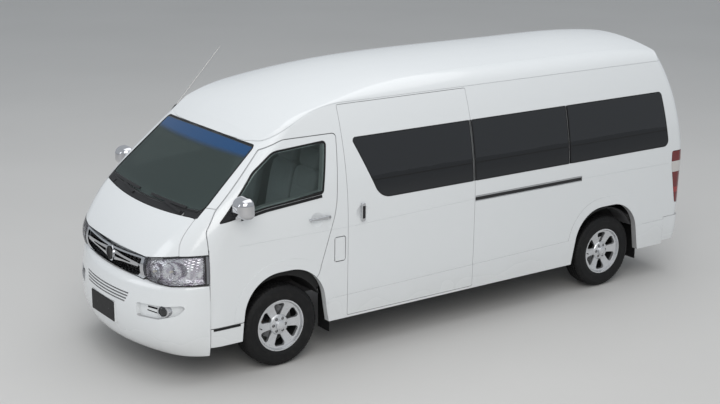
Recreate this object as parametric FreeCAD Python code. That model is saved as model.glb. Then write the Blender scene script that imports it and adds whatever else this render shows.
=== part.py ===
"""High-roof minibus: a lofted hollow shell split into panels and doors, with glazing, cab and running gear.

Millimetres. +X forward, +Y to the vehicle's left, +Z up. The origin is on the ground, on the centreline,
midway between the nose and the tail. Outline tables give x ahead of the front axle, unless they say
otherwise.
"""
import FreeCAD
import Part
import math
import os
from FreeCAD import Vector

# Overall sizes
WHEELBASE = 3560.0
FRONT_OVERHANG = 1130.0
REAR_OVERHANG = 1000.0
HALF_WIDTH = 940.0
ROOF_Z = 2285.0
BODY_BASE_Z = 300.0
BELT_Z = 1100.0
UPPER_SIDE_RADIUS = 2550.0
LOWER_SIDE_RADIUS = 20000.0
TAIL_PLAN_RADIUS = 30000.0
TAIL_CORNER_RADIUS = 90.0

# Wall thicknesses and clearances
WALL = 55.0
FRONT_PANEL = 45.0
BONNET_THICKNESS = 28.0
GLASS = 7.0
GLASS_INSET = 1.0
SEAT = 0.3
SHUT_GAP = 4.0
DOOR_GAP = 7.0
TAILGATE_GAP = 10.0
REBATE = 24.0

# Wheels and axles
TYRE_RADIUS = 342.0
TYRE_WIDTH = 195.0
RIM_RADIUS = 205.0
WHEEL_Y = 800.0
KINGPIN_Y = 700.0
KINGPIN_RADIUS = 17.0
AXLE_STUB_RADIUS = 28.0
BEARING_CLEARANCE = 0.3
RAIL_Y = 400.0
RAIL_WIDTH = 70.0
RAIL_HEIGHT = 130.0
RAIL_BASE_Z = 400.0
FLOOR_Z = 600.0
FLOOR_THICKNESS = 40.0
WHEELHOUSE_RADIUS = 425.0
WHEELHOUSE_WALL = 12.0

# Door hinges: how far the pin lies behind the leading edge and inside the skin
PIN_BACK = 20.0
PIN_RADIUS = 4.0
LEAF_HEIGHT = 46.0
HINGE_CLEARANCE = 5.5
HINGE_RUNNING_GAP = 5.0

FRONT_AXLE_X = (WHEELBASE + REAR_OVERHANG - FRONT_OVERHANG) / 2
REAR_AXLE_X = FRONT_AXLE_X - WHEELBASE
TAIL_X = REAR_AXLE_X - REAR_OVERHANG
NOSE_X = FRONT_AXLE_X + FRONT_OVERHANG

# Heights and stations where panels meet
BUMPER_TOP_Z = 814.0
CAB_BREAK_Z = 1385.0
REAR_BUMPER_TOP_Z = 565.0
REAR_BUMPER_X = TAIL_X + 250.0
LAMP_INNER_Y = 860.0
LAMP_TOP_Z = 1000.0
FLAP_THICKNESS = 12.0
FLAP_POCKET = 40.0
DOOR_FRONT_X = 655.0
HINGE_Y = 916.0
HINGE_ZS = (720.0, 1060.0)
COWL_FRONT_X = 770.0
COWL_FRONT_RADIUS = 3400.0
COWL_DEPTH = 12.0
COWL_INSET = 4.0
COWL_HALF_WIDTH = 778.0
COWL_LOW_Z = 1255.0
SCREEN_FLANGE = 24.0
BULKHEAD_X = 780.0
BONNET_HINGE_X = 680.0
BONNET_HINGE_Z = 1303.0
BONNET_HINGE_Y = 600.0
GATE_HINGE_Y = 400.0
GATE_HINGE_Z = 1988.0
GATE_PIN_DEEP = 16.0
GATE_CORNER = 95.0
FLAP_GAP = 8.0
CAB_CLEAR = 9.0
PLATFORM_Z = 800.0
PLATFORM_FRONT_X = 260.0
PLATFORM_BACK_X = -800.0
LAMP_DEPTH = 50.0
SLOT_DEPTH = 30.0
LENS_THICKNESS = 4.0
LAMP_RIM = 9.0
EMBLEM_RADIUS = 66.0
EMBLEM_Z = 907.0
EMBLEM_PROUD = 6.0
SLAT_PITCH = 21.0
SLAT_THICKNESS = 5.0
BAR_PITCH = 60.0
GRILLE_WELL = 28.0
SKIRT_PROUD = 4.0
FLARE_PROUD = 3.0
FLARE_REACH = 88.0
BELT_GROOVE = 2.0
SEAM_GROOVE = 5.0
RAIL_GROOVE = 10.0
FOG_Y = 728.0
FOG_LAMP_Z = 606.0
FOG_RADIUS = 46.0
HANDLE_X = -335.0
HANDLE_Z = 1196.0
HANDLE_LENGTH = 200.0
DISH_RADIUS = 62.0
DISH_DEPTH = 13.0
SLIDING_HANDLE_X = -755.0
SLIDING_HANDLE_Z = 1182.0
NUT_CIRCLE = 57.0
SPOKES = 6
PLATE_WIDTH = 400.0
PLATE_HEIGHT = 155.0
PLATE_Z = 482.0
PLATE_HOLE_RADIUS = 3.5
PLATE_HOLE_SPACING = 210.0
REAR_PLATE_Z = 700.0
TOW_EYE_RADIUS = 15.0
TOW_EYE_THICKNESS = 18.0
ENGINE_HALF_WIDTH = 230.0
SPARE_BACK_X = 500.0
SPARE_THICKNESS = 175.0
MIRROR_X = 405.0
STEERING_X = 300.0
STEERING_Y = 400.0
STEERING_Z = 1270.0
STEERING_LEAN = 40.0
CROSS_MEMBERS = (800, -900, -2000, -2700, -4240)
OUTRIGGERS = (-760, -1900, -2900, -4200)
JACK_POINTS = (520, -3000)
SEAT_BACK_HEIGHT = 520.0
# Cab seats: cushion's back edge, then the middle and width of each
CAB_SEAT_X = -380.0
CAB_SEATS = ((-440, 500), (330, 700))
# Passenger rows: cushion's back edge ahead of the front axle, widths of the left and right seats, outer edge
SEAT_ROWS = ((-1450, 440, 860, 840), (-2250, 440, 860, 840), (-2950, 440, 700, 840), (-3950, 400, 620, 640))

# Body plan at each level: z, nose ahead of the front axle, nose radius, corner radius, tail inset
SHELL_LEVELS = (
    (280, 982, 4000, 420, 60),
    (560, 1000, 4200, 420, 25),
    (830, 1032, 4500, 420, 8),
    (985, 1026, 4500, 420, 4),
    (1100, 950, 4600, 380, 0),
    (1200, 865, 4700, 330, 0),
    (1290, 772, 4800, 270, 5),
    (1400, 645, 5000, 215, 18),
    (1600, 408, 5000, 175, 50),
    (1825, 140, 5000, 150, 100),
    (2080, -165, 5000, 140, 190),
    (2340, -475, 5000, 130, 310),
)
# Bumper plan at each level, with the same columns
BUMPER_LEVELS = (
    (235, 1036, 1700, 380, 60),
    (300, 1090, 1800, 400, 40),
    (400, 1117, 1900, 400, 10),
    (500, 1125, 1900, 400, 0),
    (600, 1122, 1900, 400, 0),
    (700, 1108, 1900, 400, 0),
    (760, 1094, 1950, 400, 0),
    (795, 1074, 2050, 400, 1),
    (812, 1044, 2200, 400, 6),
)
# Roof section at each station: x ahead of the front axle, crown z, crown radius, gutter z
ROOF_STATIONS = (
    (430, 1700, 9000, 1600),
    (0, 1932, 6000, 1852),
    (-250, 2066, 4500, 1966),
    (-550, 2162, 3000, 2052),
    (-1000, 2240, 2300, 2060),
    (-1700, 2280, 2080, 2060),
    (-2600, ROOF_Z, 2045, 2060),
    (-4000, 2278, 2045, 2060),
    (-4450, 2238, 2150, 2045),
    (-4900, 2140, 2500, 1990),
)

# Side outlines: x ahead of the front axle, z, corner radius
CAP_SEAM = (
    (700, 1830, 0), (118, 1812, 0), (-432, 2061, 1100), (-6000, 2061, 0), (-6000, 2500, 0), (700, 2500, 0),
)
# Lines along the side: x ahead of the front axle, z
BELT_LINE = ((400, 1087), (-615, 1078), (-1133, 1090), (-1934, 1112), (-2924, 1112), (-4330, 1100))
SKIRT_LINE = ((-425, 496), (-1150, 504), (-1953, 517), (-3116, 537), (-4600, 547))
SLIDE_RAIL = ((-1942, 1137, 0), (-1942, 1087, 0), (-3196, 1087, 6), (-3196, 1137, 6))
FRONT_DOOR = (
    (655, 458, 0), (655, 1225, 90), (560, 1368, 300), (120, 1775, 60), (-60, 1842, 160), (-556, 1838, 30),
    (-500, 1250, 900), (-330, 735, 0), (-120, 458, 0),
)
FRONT_DOOR_GLASS = (
    (568, 1280, 8), (235, 1634, 300), (40, 1772, 160), (-462, 1800, 34), (-388, 1383, 40), (150, 1343, 400),
)
SLIDING_DOOR = ((-615, 322, 12), (-615, 2048, 12), (-1935, 2048, 12), (-1935, 322, 12))
SLIDING_GLASS = ((-694, 1789, 30), (-938, 1268, 160), (-1925, 1268, 12), (-1925, 1789, 12))
MIDDLE_GLASS = ((-1945, 1789, 12), (-1945, 1268, 12), (-3038, 1268, 12), (-3038, 1789, 12))
REAR_GLASS = ((-3050, 1789, 12), (-3050, 1268, 12), (-4325, 1268, 60), (-4262, 1789, 45))
FRONT_ARCH = ((385, 200, 0), (335, 812, 335), (-345, 812, 335), (-450, 200, 0))
FUEL_FLAP = ((-487, 1003, 14), (-487, 806, 14), (-583, 806, 14), (-583, 1003, 14))
TAIL_LAMP = ((-4375, 1210, 20), (-4375, 1085, 0), (-4448, 700, 20), (-5000, 700, 0), (-5000, 1210, 0))
# Rear arch: x ahead of the rear axle
REAR_ARCH = ((460, 200, 0), (355, 800, 325), (-325, 800, 325), (-440, 200, 0))

# Front outlines: y, z, corner radius, for the left half or symmetric about the centre
WINDSCREEN = (
    (718, 1806, 45), (790, 1347, 60), (0, 1318, 9000),
    (-790, 1347, 60), (-718, 1806, 45), (0, 1824, 15000),
)
BONNET = (
    (520, 1000, 0), (800, 1052, 0), (762, 1150, 300), (762, 1420, 0),
    (-762, 1420, 0), (-762, 1150, 300), (-800, 1052, 0), (-520, 1000, 0), (0, 974, 9000),
)
FOG = ((470, 632, 20), (760, 652, 60), (880, 672, 20), (836, 590, 60), (700, 540, 60), (480, 524, 20))
# Bumper slots: bottom z, top z, half-width
SLOTS = ((669, 681, 376), (645, 658, 366), (621, 634, 352), (598, 610, 335))
GRILLE = (
    (520, 996, 20), (534, 838, 30), (470, 800, 60), (0, 776, 9000),
    (-470, 800, 60), (-534, 838, 30), (-520, 996, 20), (0, 970, 9000),
)
GRILLE_MOUTH = (
    (482, 978, 14), (474, 862, 20), (420, 824, 60), (0, 802, 9000),
    (-420, 824, 60), (-474, 862, 20), (-482, 978, 14), (0, 952, 9000),
)
GRILLE_WING = ((50, 950, 0), (200, 938, 400), (446, 933, 12), (452, 906, 10), (200, 888, 400), (50, 862, 0))
WING_SLOT = ((82, 922, 5), (330, 917, 4), (330, 909, 4), (82, 896, 5))
HEADLAMP = (
    (540, 994, 15), (552, 820, 30), (760, 808, 200), (1000, 830, 0), (1000, 1064, 0), (800, 1046, 200),
)
# Lamp bowls: y, z, radius
LAMP_BOWLS = ((632, 908, 66), (762, 925, 74))
TAILGATE = (
    (725, 575, 25), (725, 1250, 400), (640, 2010, 60),
    (-640, 2010, 60), (-725, 1250, 400), (-725, 575, 25),
)
TAILGATE_GLASS = ((655, 1265, 60), (592, 1880, 60), (-592, 1880, 60), (-655, 1265, 60))

made = {}


def box(x0, x1, y0, y1, z0, z1):
    """A box between two corners."""
    return Part.makeBox(x1 - x0, y1 - y0, z1 - z0, Vector(x0, y0, z0))


def rod(start, end, radius):
    """A round bar between two points."""
    axis = Vector(*end) - Vector(*start)
    return Part.makeCylinder(radius, axis.Length, Vector(*start), axis)


def mirrored(shape):
    """The same shape on the other side of the vehicle."""
    return shape.mirror(Vector(0, 0, 0), Vector(0, 1, 0))


def fused(shapes):
    """All shapes as one."""
    result = shapes[0]
    if len(shapes) > 1:
        result = result.multiFuse(shapes[1:])
    return result.removeSplitter()


def both_sides(shape):
    """A shape and its mirror image as two solids."""
    return Part.makeCompound([shape, mirrored(shape)])


def from_axle(points, axle_x=FRONT_AXLE_X):
    """An outline measured ahead of an axle, moved to the vehicle frame."""
    return [(x + axle_x, z, radius) for x, z, radius in points]


def grown(points, distance):
    """An outline moved outwards by a distance, or inwards if it is negative, with its radii kept in step."""
    count = len(points)
    area = sum(points[i - 1][0] * points[i][1] - points[i][0] * points[i - 1][1] for i in range(count))
    turn = 1.0 if area > 0 else -1.0
    result = []
    for i in range(count):
        before, here, after = points[i - 1], points[i], points[(i + 1) % count]
        lines = []
        for start, end in ((before, here), (here, after)):
            dx, dy = end[0] - start[0], end[1] - start[1]
            size = math.hypot(dx, dy)
            nx, ny = turn * dy / size, -turn * dx / size
            lines.append((nx, ny, nx * start[0] + ny * start[1] + distance))
        (a1, b1, c1), (a2, b2, c2) = lines
        det = a1 * b2 - a2 * b1
        if abs(det) < 1e-9:
            x, y = here[0] + a1 * distance, here[1] + b1 * distance
        else:
            x, y = (c1 * b2 - c2 * b1) / det, (a1 * c2 - a2 * c1) / det
        back, ahead = (here[0] - before[0], here[1] - before[1]), (after[0] - here[0], after[1] - here[1])
        convex = turn * (back[0] * ahead[1] - back[1] * ahead[0]) > 0
        radius = here[2] + (distance if convex else -distance) if here[2] else 0
        result.append((x, y, max(radius, 2.0) if here[2] else 0))
    return result


def rounded_face(points, place):
    """A flat face inside an outline whose corners are tangent arcs; place puts (u, v) into space."""
    count = len(points)
    joints = []
    for i in range(count):
        before, here, after = points[i - 1], points[i], points[(i + 1) % count]
        ux, uy = before[0] - here[0], before[1] - here[1]
        vx, vy = after[0] - here[0], after[1] - here[1]
        lu, lv = math.hypot(ux, uy), math.hypot(vx, vy)
        ux, uy, vx, vy = ux / lu, uy / lu, vx / lv, vy / lv
        half = math.acos(max(-1.0, min(1.0, ux * vx + uy * vy))) / 2
        radius = here[2]
        if radius <= 0 or half > math.pi / 2 - 1e-4:
            joints.append(((here[0], here[1]),) * 3)
            continue
        reach = min(radius / math.tan(half), 0.49 * lu, 0.49 * lv)
        radius = reach * math.tan(half)
        bx, by = ux + vx, uy + vy
        size = math.hypot(bx, by)
        away = radius / math.sin(half) - radius
        joints.append((
            (here[0] + ux * reach, here[1] + uy * reach),
            (here[0] + bx / size * away, here[1] + by / size * away),
            (here[0] + vx * reach, here[1] + vy * reach),
        ))
    edges = []
    for i in range(count):
        start, middle, end = [place(*p) for p in joints[i]]
        if (end - start).Length > 1e-3:
            edges.append(Part.Arc(start, middle, end).toShape())
        following = place(*joints[(i + 1) % count][0])
        if (following - end).Length > 1e-3:
            edges.append(Part.LineSegment(end, following).toShape())
    return Part.Face(Part.Wire(edges))


def side_prism(points, y0, y1):
    """An XZ outline carried along Y."""
    face = rounded_face(points, lambda x, z: Vector(x, y0, z))
    return face.extrude(Vector(0, y1 - y0, 0))


def front_prism(points, x0, x1):
    """A YZ outline carried along X."""
    face = rounded_face(points, lambda y, z: Vector(x0, y, z))
    return face.extrude(Vector(x1 - x0, 0, 0))


def side_y(z):
    """Half-width of the body at a height: an arc above the belt and a flatter one below it."""
    if z >= BELT_Z:
        rise = z - BELT_Z
        return HALF_WIDTH - UPPER_SIDE_RADIUS + math.sqrt(UPPER_SIDE_RADIUS ** 2 - rise ** 2)
    return HALF_WIDTH - (BELT_Z - z) ** 2 / (2 * LOWER_SIDE_RADIUS)


def curve(centre, radius, start, end, place):
    """A circular arc between two angles as one cubic span; place puts (u, v) into space."""
    pull = 4 / 3 * math.tan((end - start) / 4) * radius
    u0, v0 = centre[0] + radius * math.cos(start), centre[1] + radius * math.sin(start)
    u1, v1 = centre[0] + radius * math.cos(end), centre[1] + radius * math.sin(end)
    span = Part.BezierCurve()
    span.setPoles([
        place(u0, v0),
        place(u0 - pull * math.sin(start), v0 + pull * math.cos(start)),
        place(u1 + pull * math.sin(end), v1 - pull * math.cos(end)),
        place(u1, v1),
    ])
    return span.toShape()


def corner_centre(tip, radius, small, width, way):
    """A plan corner's arc between an end arc and a side: both arcs' centres and their angle."""
    centre = tip - way * radius
    reach = math.sqrt((radius - small) ** 2 - (width - small) ** 2)
    return centre, centre + way * reach, math.atan2(width - small, reach)


def plan_wire(level, inset):
    """The body's closed plan outline at one level, moved inwards by an inset."""
    z, ahead, nose_radius, corner, tail_inset = level
    width = side_y(z) - inset
    front, small = nose_radius - inset, corner - inset
    rear, tail_small = TAIL_PLAN_RADIUS - inset, TAIL_CORNER_RADIUS - inset
    nose_centre, front_x, lean = corner_centre(FRONT_AXLE_X + ahead - inset, front, small, width, 1)
    tail_centre, rear_x, tail_lean = corner_centre(TAIL_X + tail_inset + inset, rear, tail_small, width, -1)
    half_turn = math.pi / 2

    def at(x, y):
        return Vector(x, y, z)

    return Part.Wire([
        curve((front_x, small - width), small, -half_turn, -lean, at),
        curve((nose_centre, 0), front, -lean, lean, at),
        curve((front_x, width - small), small, lean, half_turn, at),
        Part.LineSegment(at(front_x, width), at(rear_x, width)).toShape(),
        curve((rear_x, width - tail_small), tail_small, half_turn, math.pi - tail_lean, at),
        curve((tail_centre, 0), rear, math.pi - tail_lean, math.pi + tail_lean, at),
        curve((rear_x, tail_small - width), tail_small, math.pi + tail_lean, 3 * half_turn, at),
        Part.LineSegment(at(rear_x, -width), at(front_x, -width)).toShape(),
    ])


def smooth_loft(wires):
    """A solid through closed sections, smooth along its length."""
    return Part.makeLoft(wires, True, False, False, 3)


def shell(inset):
    """The body's sides, nose and tail as a solid, moved inwards by an inset."""
    key = ("shell", inset)
    if key not in made:
        made[key] = smooth_loft([plan_wire(level, inset) for level in SHELL_LEVELS])
    return made[key].copy()


def layer(outer, inner):
    """The part of the body between two insets."""
    key = ("layer", outer, inner)
    if key not in made:
        made[key] = shell(outer).cut(shell(inner))
    return made[key].copy()


def left_layer(outer, inner, z0=BODY_BASE_Z, z1=2100.0):
    """The left half of a layer between two heights."""
    key = ("left layer", outer, inner, z0, z1)
    if key not in made:
        made[key] = layer(outer, inner).common(box(TAIL_X - 50, NOSE_X + 50, 200, 1200, z0, z1))
    return made[key].copy()


def bumper_shell(inset):
    """The bumpers' outer form as a solid, moved inwards by an inset."""
    return smooth_loft([plan_wire(level, inset) for level in BUMPER_LEVELS])


def roof_wire(station, inset):
    """A closed section under the roof: crown arc, tangent corner arcs, splayed sides down to the base."""
    x, crown_z, crown_radius, gutter_z = station
    low = gutter_z - 1.5 * inset
    lean = math.asin((low - BELT_Z) / UPPER_SIDE_RADIUS)
    normal = (math.cos(lean), math.sin(lean))
    gutter = (side_y(low) - inset * normal[0], low - inset * normal[1])
    radius = crown_radius - inset
    centre_z = crown_z - crown_radius
    dy, dz = gutter[0], gutter[1] - centre_z
    small = (radius ** 2 - dy ** 2 - dz ** 2) / (2 * (radius - dy * normal[0] - dz * normal[1]))
    cy, cz = gutter[0] - small * normal[0], gutter[1] - small * normal[1]
    angle = math.atan2(cz - centre_z, cy)
    splay = gutter[1] - 500

    def at(y, z):
        return Vector(FRONT_AXLE_X + x, y, z)

    return Part.Wire([
        Part.LineSegment(at(HALF_WIDTH + 150, 100), at(HALF_WIDTH + 150, splay)).toShape(),
        Part.LineSegment(at(HALF_WIDTH + 150, splay), at(*gutter)).toShape(),
        curve((cy, cz), small, lean, angle, at),
        curve((0, centre_z), radius, angle, math.pi - angle, at),
        curve((-cy, cz), small, math.pi - angle, math.pi - lean, at),
        Part.LineSegment(at(-gutter[0], gutter[1]), at(-HALF_WIDTH - 150, splay)).toShape(),
        Part.LineSegment(at(-HALF_WIDTH - 150, splay), at(-HALF_WIDTH - 150, 100)).toShape(),
        Part.LineSegment(at(-HALF_WIDTH - 150, 100), at(HALF_WIDTH + 150, 100)).toShape(),
    ])


def roof_form(inset):
    """Everything under the roof's surface, moved inwards by an inset."""
    sections = [roof_wire(station, inset) for station in ROOF_STATIONS]
    ahead = Part.makeBox(1500, 3000, 3000, Vector(FRONT_AXLE_X + ROOF_STATIONS[0][0], -1500, 0))
    return smooth_loft(sections), ahead


def body(inset):
    """The whole body form under its roof, moved inwards by an inset."""
    under, ahead = roof_form(inset)
    form = shell(inset)
    return form.common(under).fuse(form.common(ahead))


def largest(shape):
    """The largest solid of a shape, without offcuts."""
    return max(shape.Solids, key=lambda s: s.Volume)


def solids_over(shape, volume):
    """The solids of a shape that are larger than an offcut."""
    kept = [s for s in shape.Solids if s.Volume > volume]
    return kept[0] if len(kept) == 1 else Part.makeCompound(kept)


def x_at(ahead):
    """A station measured ahead of the front axle."""
    return FRONT_AXLE_X + ahead


def bent_tube(points, radius, bend):
    """A round tube along straight runs joined by tangent arcs."""
    solids = []
    here = Vector(*points[0])
    for i in range(1, len(points)):
        corner = Vector(*points[i])
        if i + 1 < len(points):
            after = Vector(*points[i + 1])
            into, out = (here - corner).normalize(), (after - corner).normalize()
            half = math.acos(max(-1.0, min(1.0, into.dot(out)))) / 2
            reach = bend / math.tan(half)
            start, end = corner + into * reach, corner + out * reach
            bisector = (into + out).normalize()
            middle = corner + bisector * (bend / math.sin(half) - bend)
            solids += [(here, start, None), (start, end, middle)]
            here = end
        else:
            solids.append((here, corner, None))
    edges = []
    for start, end, middle in solids:
        edges.append(Part.LineSegment(start, end).toShape() if middle is None
                     else Part.Arc(start, middle, end).toShape())
    path = Part.Wire(edges)
    first = (Vector(*points[1]) - Vector(*points[0])).normalize()
    profile = Part.Wire(Part.Circle(Vector(*points[0]), first, radius).toShape())
    return path.makePipeShell([profile], True, False)


def nose_x(y, z):
    """The body's nose surface at a width and a height."""
    for low, high in zip(SHELL_LEVELS, SHELL_LEVELS[1:]):
        if low[0] <= z <= high[0]:
            share = (z - low[0]) / (high[0] - low[0])
            ahead, radius, corner = [a + (b - a) * share for a, b in zip(low[1:4], high[1:4])]
    width = side_y(z)
    centre, front_x, lean = corner_centre(FRONT_AXLE_X + ahead, radius, corner, width, 1)
    if abs(y) < radius * math.sin(lean):
        return centre + math.sqrt(radius ** 2 - y ** 2)
    return front_x + math.sqrt(corner ** 2 - (abs(y) - width + corner) ** 2)


def band(line, width):
    """An outline around a line along the side, as wide as given."""
    upper = [(x, z + width / 2, 0) for x, z in line]
    lower = [(x, z - width / 2, 0) for x, z in reversed(line)]
    return from_axle(upper + lower)


def dish(x, z):
    """A ball that scoops a shallow round dish out of the left side."""
    radius = (DISH_RADIUS ** 2 + DISH_DEPTH ** 2) / (2 * DISH_DEPTH)
    return Part.makeSphere(radius, Vector(x_at(x), side_y(z) - DISH_DEPTH + radius, z))


def lofted(sections):
    """A solid through rounded outlines one behind the other along X: each is x, then its outline."""
    wires = []
    for x, outline in sections:
        face = rounded_face(outline, lambda y, z, x=x: Vector(x, y, z))
        wires.append(face.OuterWire)
    return Part.makeLoft(wires, True, False)


class Panels:
    """The hollow body that the roof cap and the side panels are cut from."""

    def __init__(self):
        base = box(TAIL_X - 50, NOSE_X + 50, -1200, 1200, BODY_BASE_Z, ROOF_Z + 50)
        self.hollow = body(0).cut(body(WALL)).common(base)
        left = self.hollow.common(box(TAIL_X - 50, NOSE_X + 50, 0, 1200, 0, ROOF_Z + 50))
        self.left = left.multiFuse([self.skirt()] + self.flares())
        self.left = self.left.cut([
            side_prism(band(BELT_LINE, 5), 800, 1200).common(left_layer(-5, BELT_GROOVE)),
            side_prism(from_axle(SLIDE_RAIL), 800, 1200).common(left_layer(-5, RAIL_GROOVE)),
        ])

    def skirt(self):
        """The lower side, which stands out under its crease."""
        under = [(x, z, 0) for x, z in SKIRT_LINE] + [(SKIRT_LINE[-1][0], 250, 0), (SKIRT_LINE[0][0], 250, 0)]
        return left_layer(-SKIRT_PROUD, 20).common(side_prism(from_axle(under), 700, 1200))

    def flares(self):
        """Raised bands round both wheel arches."""
        shapes = []
        for outline in (from_axle(grown(FRONT_ARCH, FLARE_REACH)), rear_arch(FLARE_REACH)):
            above = box(TAIL_X, NOSE_X, 700, 1200, 470, 1200)
            shapes.append(left_layer(-FLARE_PROUD, 20).common(side_prism(outline, 700, 1200)).common(above))
        return shapes


def window_cut(outline):
    """Cutters for a bonded side window: the rebate for the glass and the opening inside it."""
    rebate = side_prism(from_axle(outline), 300, 1200).common(left_layer(-10, GLASS_INSET + GLASS + SEAT))
    opening = side_prism(from_axle(grown(outline, -REBATE)), 300, 1200)
    return [rebate, opening]


def window_glass(outline):
    """A bonded side window's glass, clear of its rebate's edge."""
    pane = side_prism(from_axle(grown(outline, -2)), 300, 1200)
    return largest(left_layer(GLASS_INSET, GLASS_INSET + GLASS).common(pane))


def make_roof(panels):
    """The roof cap, down to the gutter seam and the windscreen's header."""
    above = side_prism(from_axle(CAP_SEAM), -1200, 1200)
    inside = side_prism(from_axle(grown(CAP_SEAM, -SHUT_GAP)), -1200, 1200)
    groove = above.cut(inside).common(layer(-5, SEAM_GROOVE))
    cap = largest(panels.hollow.common(above).cut([screen_prism(0), gate_prism(TAILGATE_GAP), groove]))
    return fused([cap] + gate_leaves())


def screen_prism(distance):
    """The windscreen's outline carried along X, grown by a distance."""
    return front_prism(grown(WINDSCREEN, distance), x_at(-150), NOSE_X + 50)


def gate_prism(distance):
    """The tailgate's outline carried along X, grown by a distance."""
    return front_prism(grown(TAILGATE, distance), TAIL_X - 50, TAIL_X + 700)


def rear_arch(distance=0):
    """The rear wheel arch's outline in the vehicle frame."""
    return from_axle(grown(REAR_ARCH, distance), REAR_AXLE_X)


def flap_line():
    """The fuel flap's hinge line: its x and y."""
    x = x_at(FUEL_FLAP[0][0]) - FLAP_THICKNESS / 2
    return x, side_y(FUEL_FLAP[0][1]) - FLAP_THICKNESS / 2 - 1


def make_sides(panels):
    """Both body sides: sill, pillars, panels and rear corner, open at doors, windows and arches.

    The left one is also open at the sliding door and the fuel flap.
    """
    cutters = [
        side_prism(from_axle(CAP_SEAM), -1200, 1200),
        side_prism(from_axle(grown(FRONT_DOOR, DOOR_GAP)), 300, 1200),
        side_prism(from_axle(FRONT_ARCH), 300, 1200),
        side_prism(rear_arch(), 300, 1200),
        screen_prism(0),
        box(x_at(DOOR_FRONT_X) - 300, NOSE_X + 50, 0, 1200, 0, CAB_BREAK_Z + SHUT_GAP),
        gate_prism(TAILGATE_GAP),
        side_prism(from_axle(grown(TAIL_LAMP, SHUT_GAP)), LAMP_INNER_Y, 1200).common(
            left_layer(-10, LAMP_DEPTH + SEAT)),
        box(TAIL_X - 50, REAR_BUMPER_X, 0, 1200, 0, REAR_BUMPER_TOP_Z + SHUT_GAP),
    ] + window_cut(MIDDLE_GLASS) + window_cut(REAR_GLASS)
    plain = solids_over(panels.left.cut(cutters), 1e5)
    right = solids_over(plain.cut(window_cut(SLIDING_GLASS)), 1e5)
    flap_hole = side_prism(from_axle(grown(FUEL_FLAP, FLAP_GAP)), 300, 1200)
    x, y = flap_line()
    pin_hole = rod((x, y, FUEL_FLAP[1][1] - 32), (x, y, FUEL_FLAP[0][1] + 32), 3 + SEAT)
    left = plain.cut([
        side_prism(from_axle(grown(SLIDING_DOOR, SHUT_GAP)), 300, 1200),
        flap_hole.common(left_layer(-10, FLAP_POCKET)), pin_hole,
    ])
    return solids_over(left, 1e5), mirrored(right)


def make_fuel_flap():
    """The fuel flap with its hinge pin along the front edge."""
    plate = side_prism(from_axle(FUEL_FLAP), 300, 1200).common(left_layer(0, FLAP_THICKNESS))
    x, y = flap_line()
    pin = rod((x, y, FUEL_FLAP[1][1] - 26), (x, y, FUEL_FLAP[0][1] + 26), 3)
    return fused([largest(plate), pin])


def make_front_door(panels):
    """The left front door, with its window cut, hinge pockets and handle dish."""
    door = panels.left.common(side_prism(from_axle(FRONT_DOOR), 300, 1200))
    cutters = [side_prism(from_axle(FRONT_ARCH), 300, 1200), dish(HANDLE_X + 20, HANDLE_Z - 8)]
    return largest(door.cut(cutters + window_cut(FRONT_DOOR_GLASS) + hinge_pockets()))


def make_handle():
    """The left door's pull handle, thicker towards the rear, on two feet."""
    rear, front = x_at(HANDLE_X) - HANDLE_LENGTH / 2, x_at(HANDLE_X) + HANDLE_LENGTH / 2
    skin = side_y(HANDLE_Z)
    outline = ((rear, HANDLE_Z - 17, 12), (front, HANDLE_Z - 9, 6),
               (front, HANDLE_Z + 4, 6), (rear, HANDLE_Z + 15, 12))
    grip = side_prism(outline, skin + 11, skin + 25)
    grip = grip.makeFillet(5, [e for e in grip.Edges if e.BoundBox.YMin > skin + 24])
    feet = [box(x, x + 24, skin - DISH_DEPTH - 6, skin + 12, HANDLE_Z - 9, HANDLE_Z + 5)
            for x in (rear + 6, front - 30)]
    door_skin = left_layer(0, WALL).cut(dish(HANDLE_X + 20, HANDLE_Z - 8))
    return fused([grip] + [foot.cut(door_skin) for foot in feet])


def make_sliding_handle():
    """The sliding door's upright handle over its round dish."""
    skin = side_y(SLIDING_HANDLE_Z)
    x, z = x_at(SLIDING_HANDLE_X), SLIDING_HANDLE_Z
    grip = side_prism(((x - 19, z - 76, 9), (x + 19, z - 76, 9), (x + 19, z + 76, 14), (x - 19, z + 76, 14)),
                      skin + 6, skin + 20)
    grip = grip.makeFillet(5, [e for e in grip.Edges if e.BoundBox.YMin > skin + 19])
    feet = [box(x - 14, x + 14, skin - 10, skin + 7, low, low + 16) for low in (z - 74, z + 58)]
    solid = left_layer(0, WALL).cut(dish(SLIDING_HANDLE_X, SLIDING_HANDLE_Z))
    return fused([grip] + [foot.cut(solid) for foot in feet])


def make_slide_rail():
    """The cover of the sliding door's middle rail, in its groove."""
    outline = ((SLIDE_RAIL[0][0] - 1, 1135, 0), (SLIDE_RAIL[0][0] - 1, 1096, 0),
               (-3192, 1096, 5), (-3192, 1135, 5))
    return largest(left_layer(-2, RAIL_GROOVE - SEAT).common(side_prism(from_axle(outline), 800, 1200)))


def hinge_pin():
    """The left front door's hinge line: its x and y."""
    return x_at(DOOR_FRONT_X - PIN_BACK), HINGE_Y


def hinge_pockets():
    """Pockets in the door's leading edge, with holes for the pins above and below."""
    x, y = hinge_pin()
    pockets = []
    for z in HINGE_ZS:
        half = LEAF_HEIGHT / 2 + HINGE_CLEARANCE
        pockets.append(box(x - 20, x + PIN_BACK + 10, 300, y + 6.5, z - half, z + half))
        pockets.append(rod((x, y, z - half - 14), (x, y, z + half + 14), PIN_RADIUS + SEAT))
    return pockets


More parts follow.
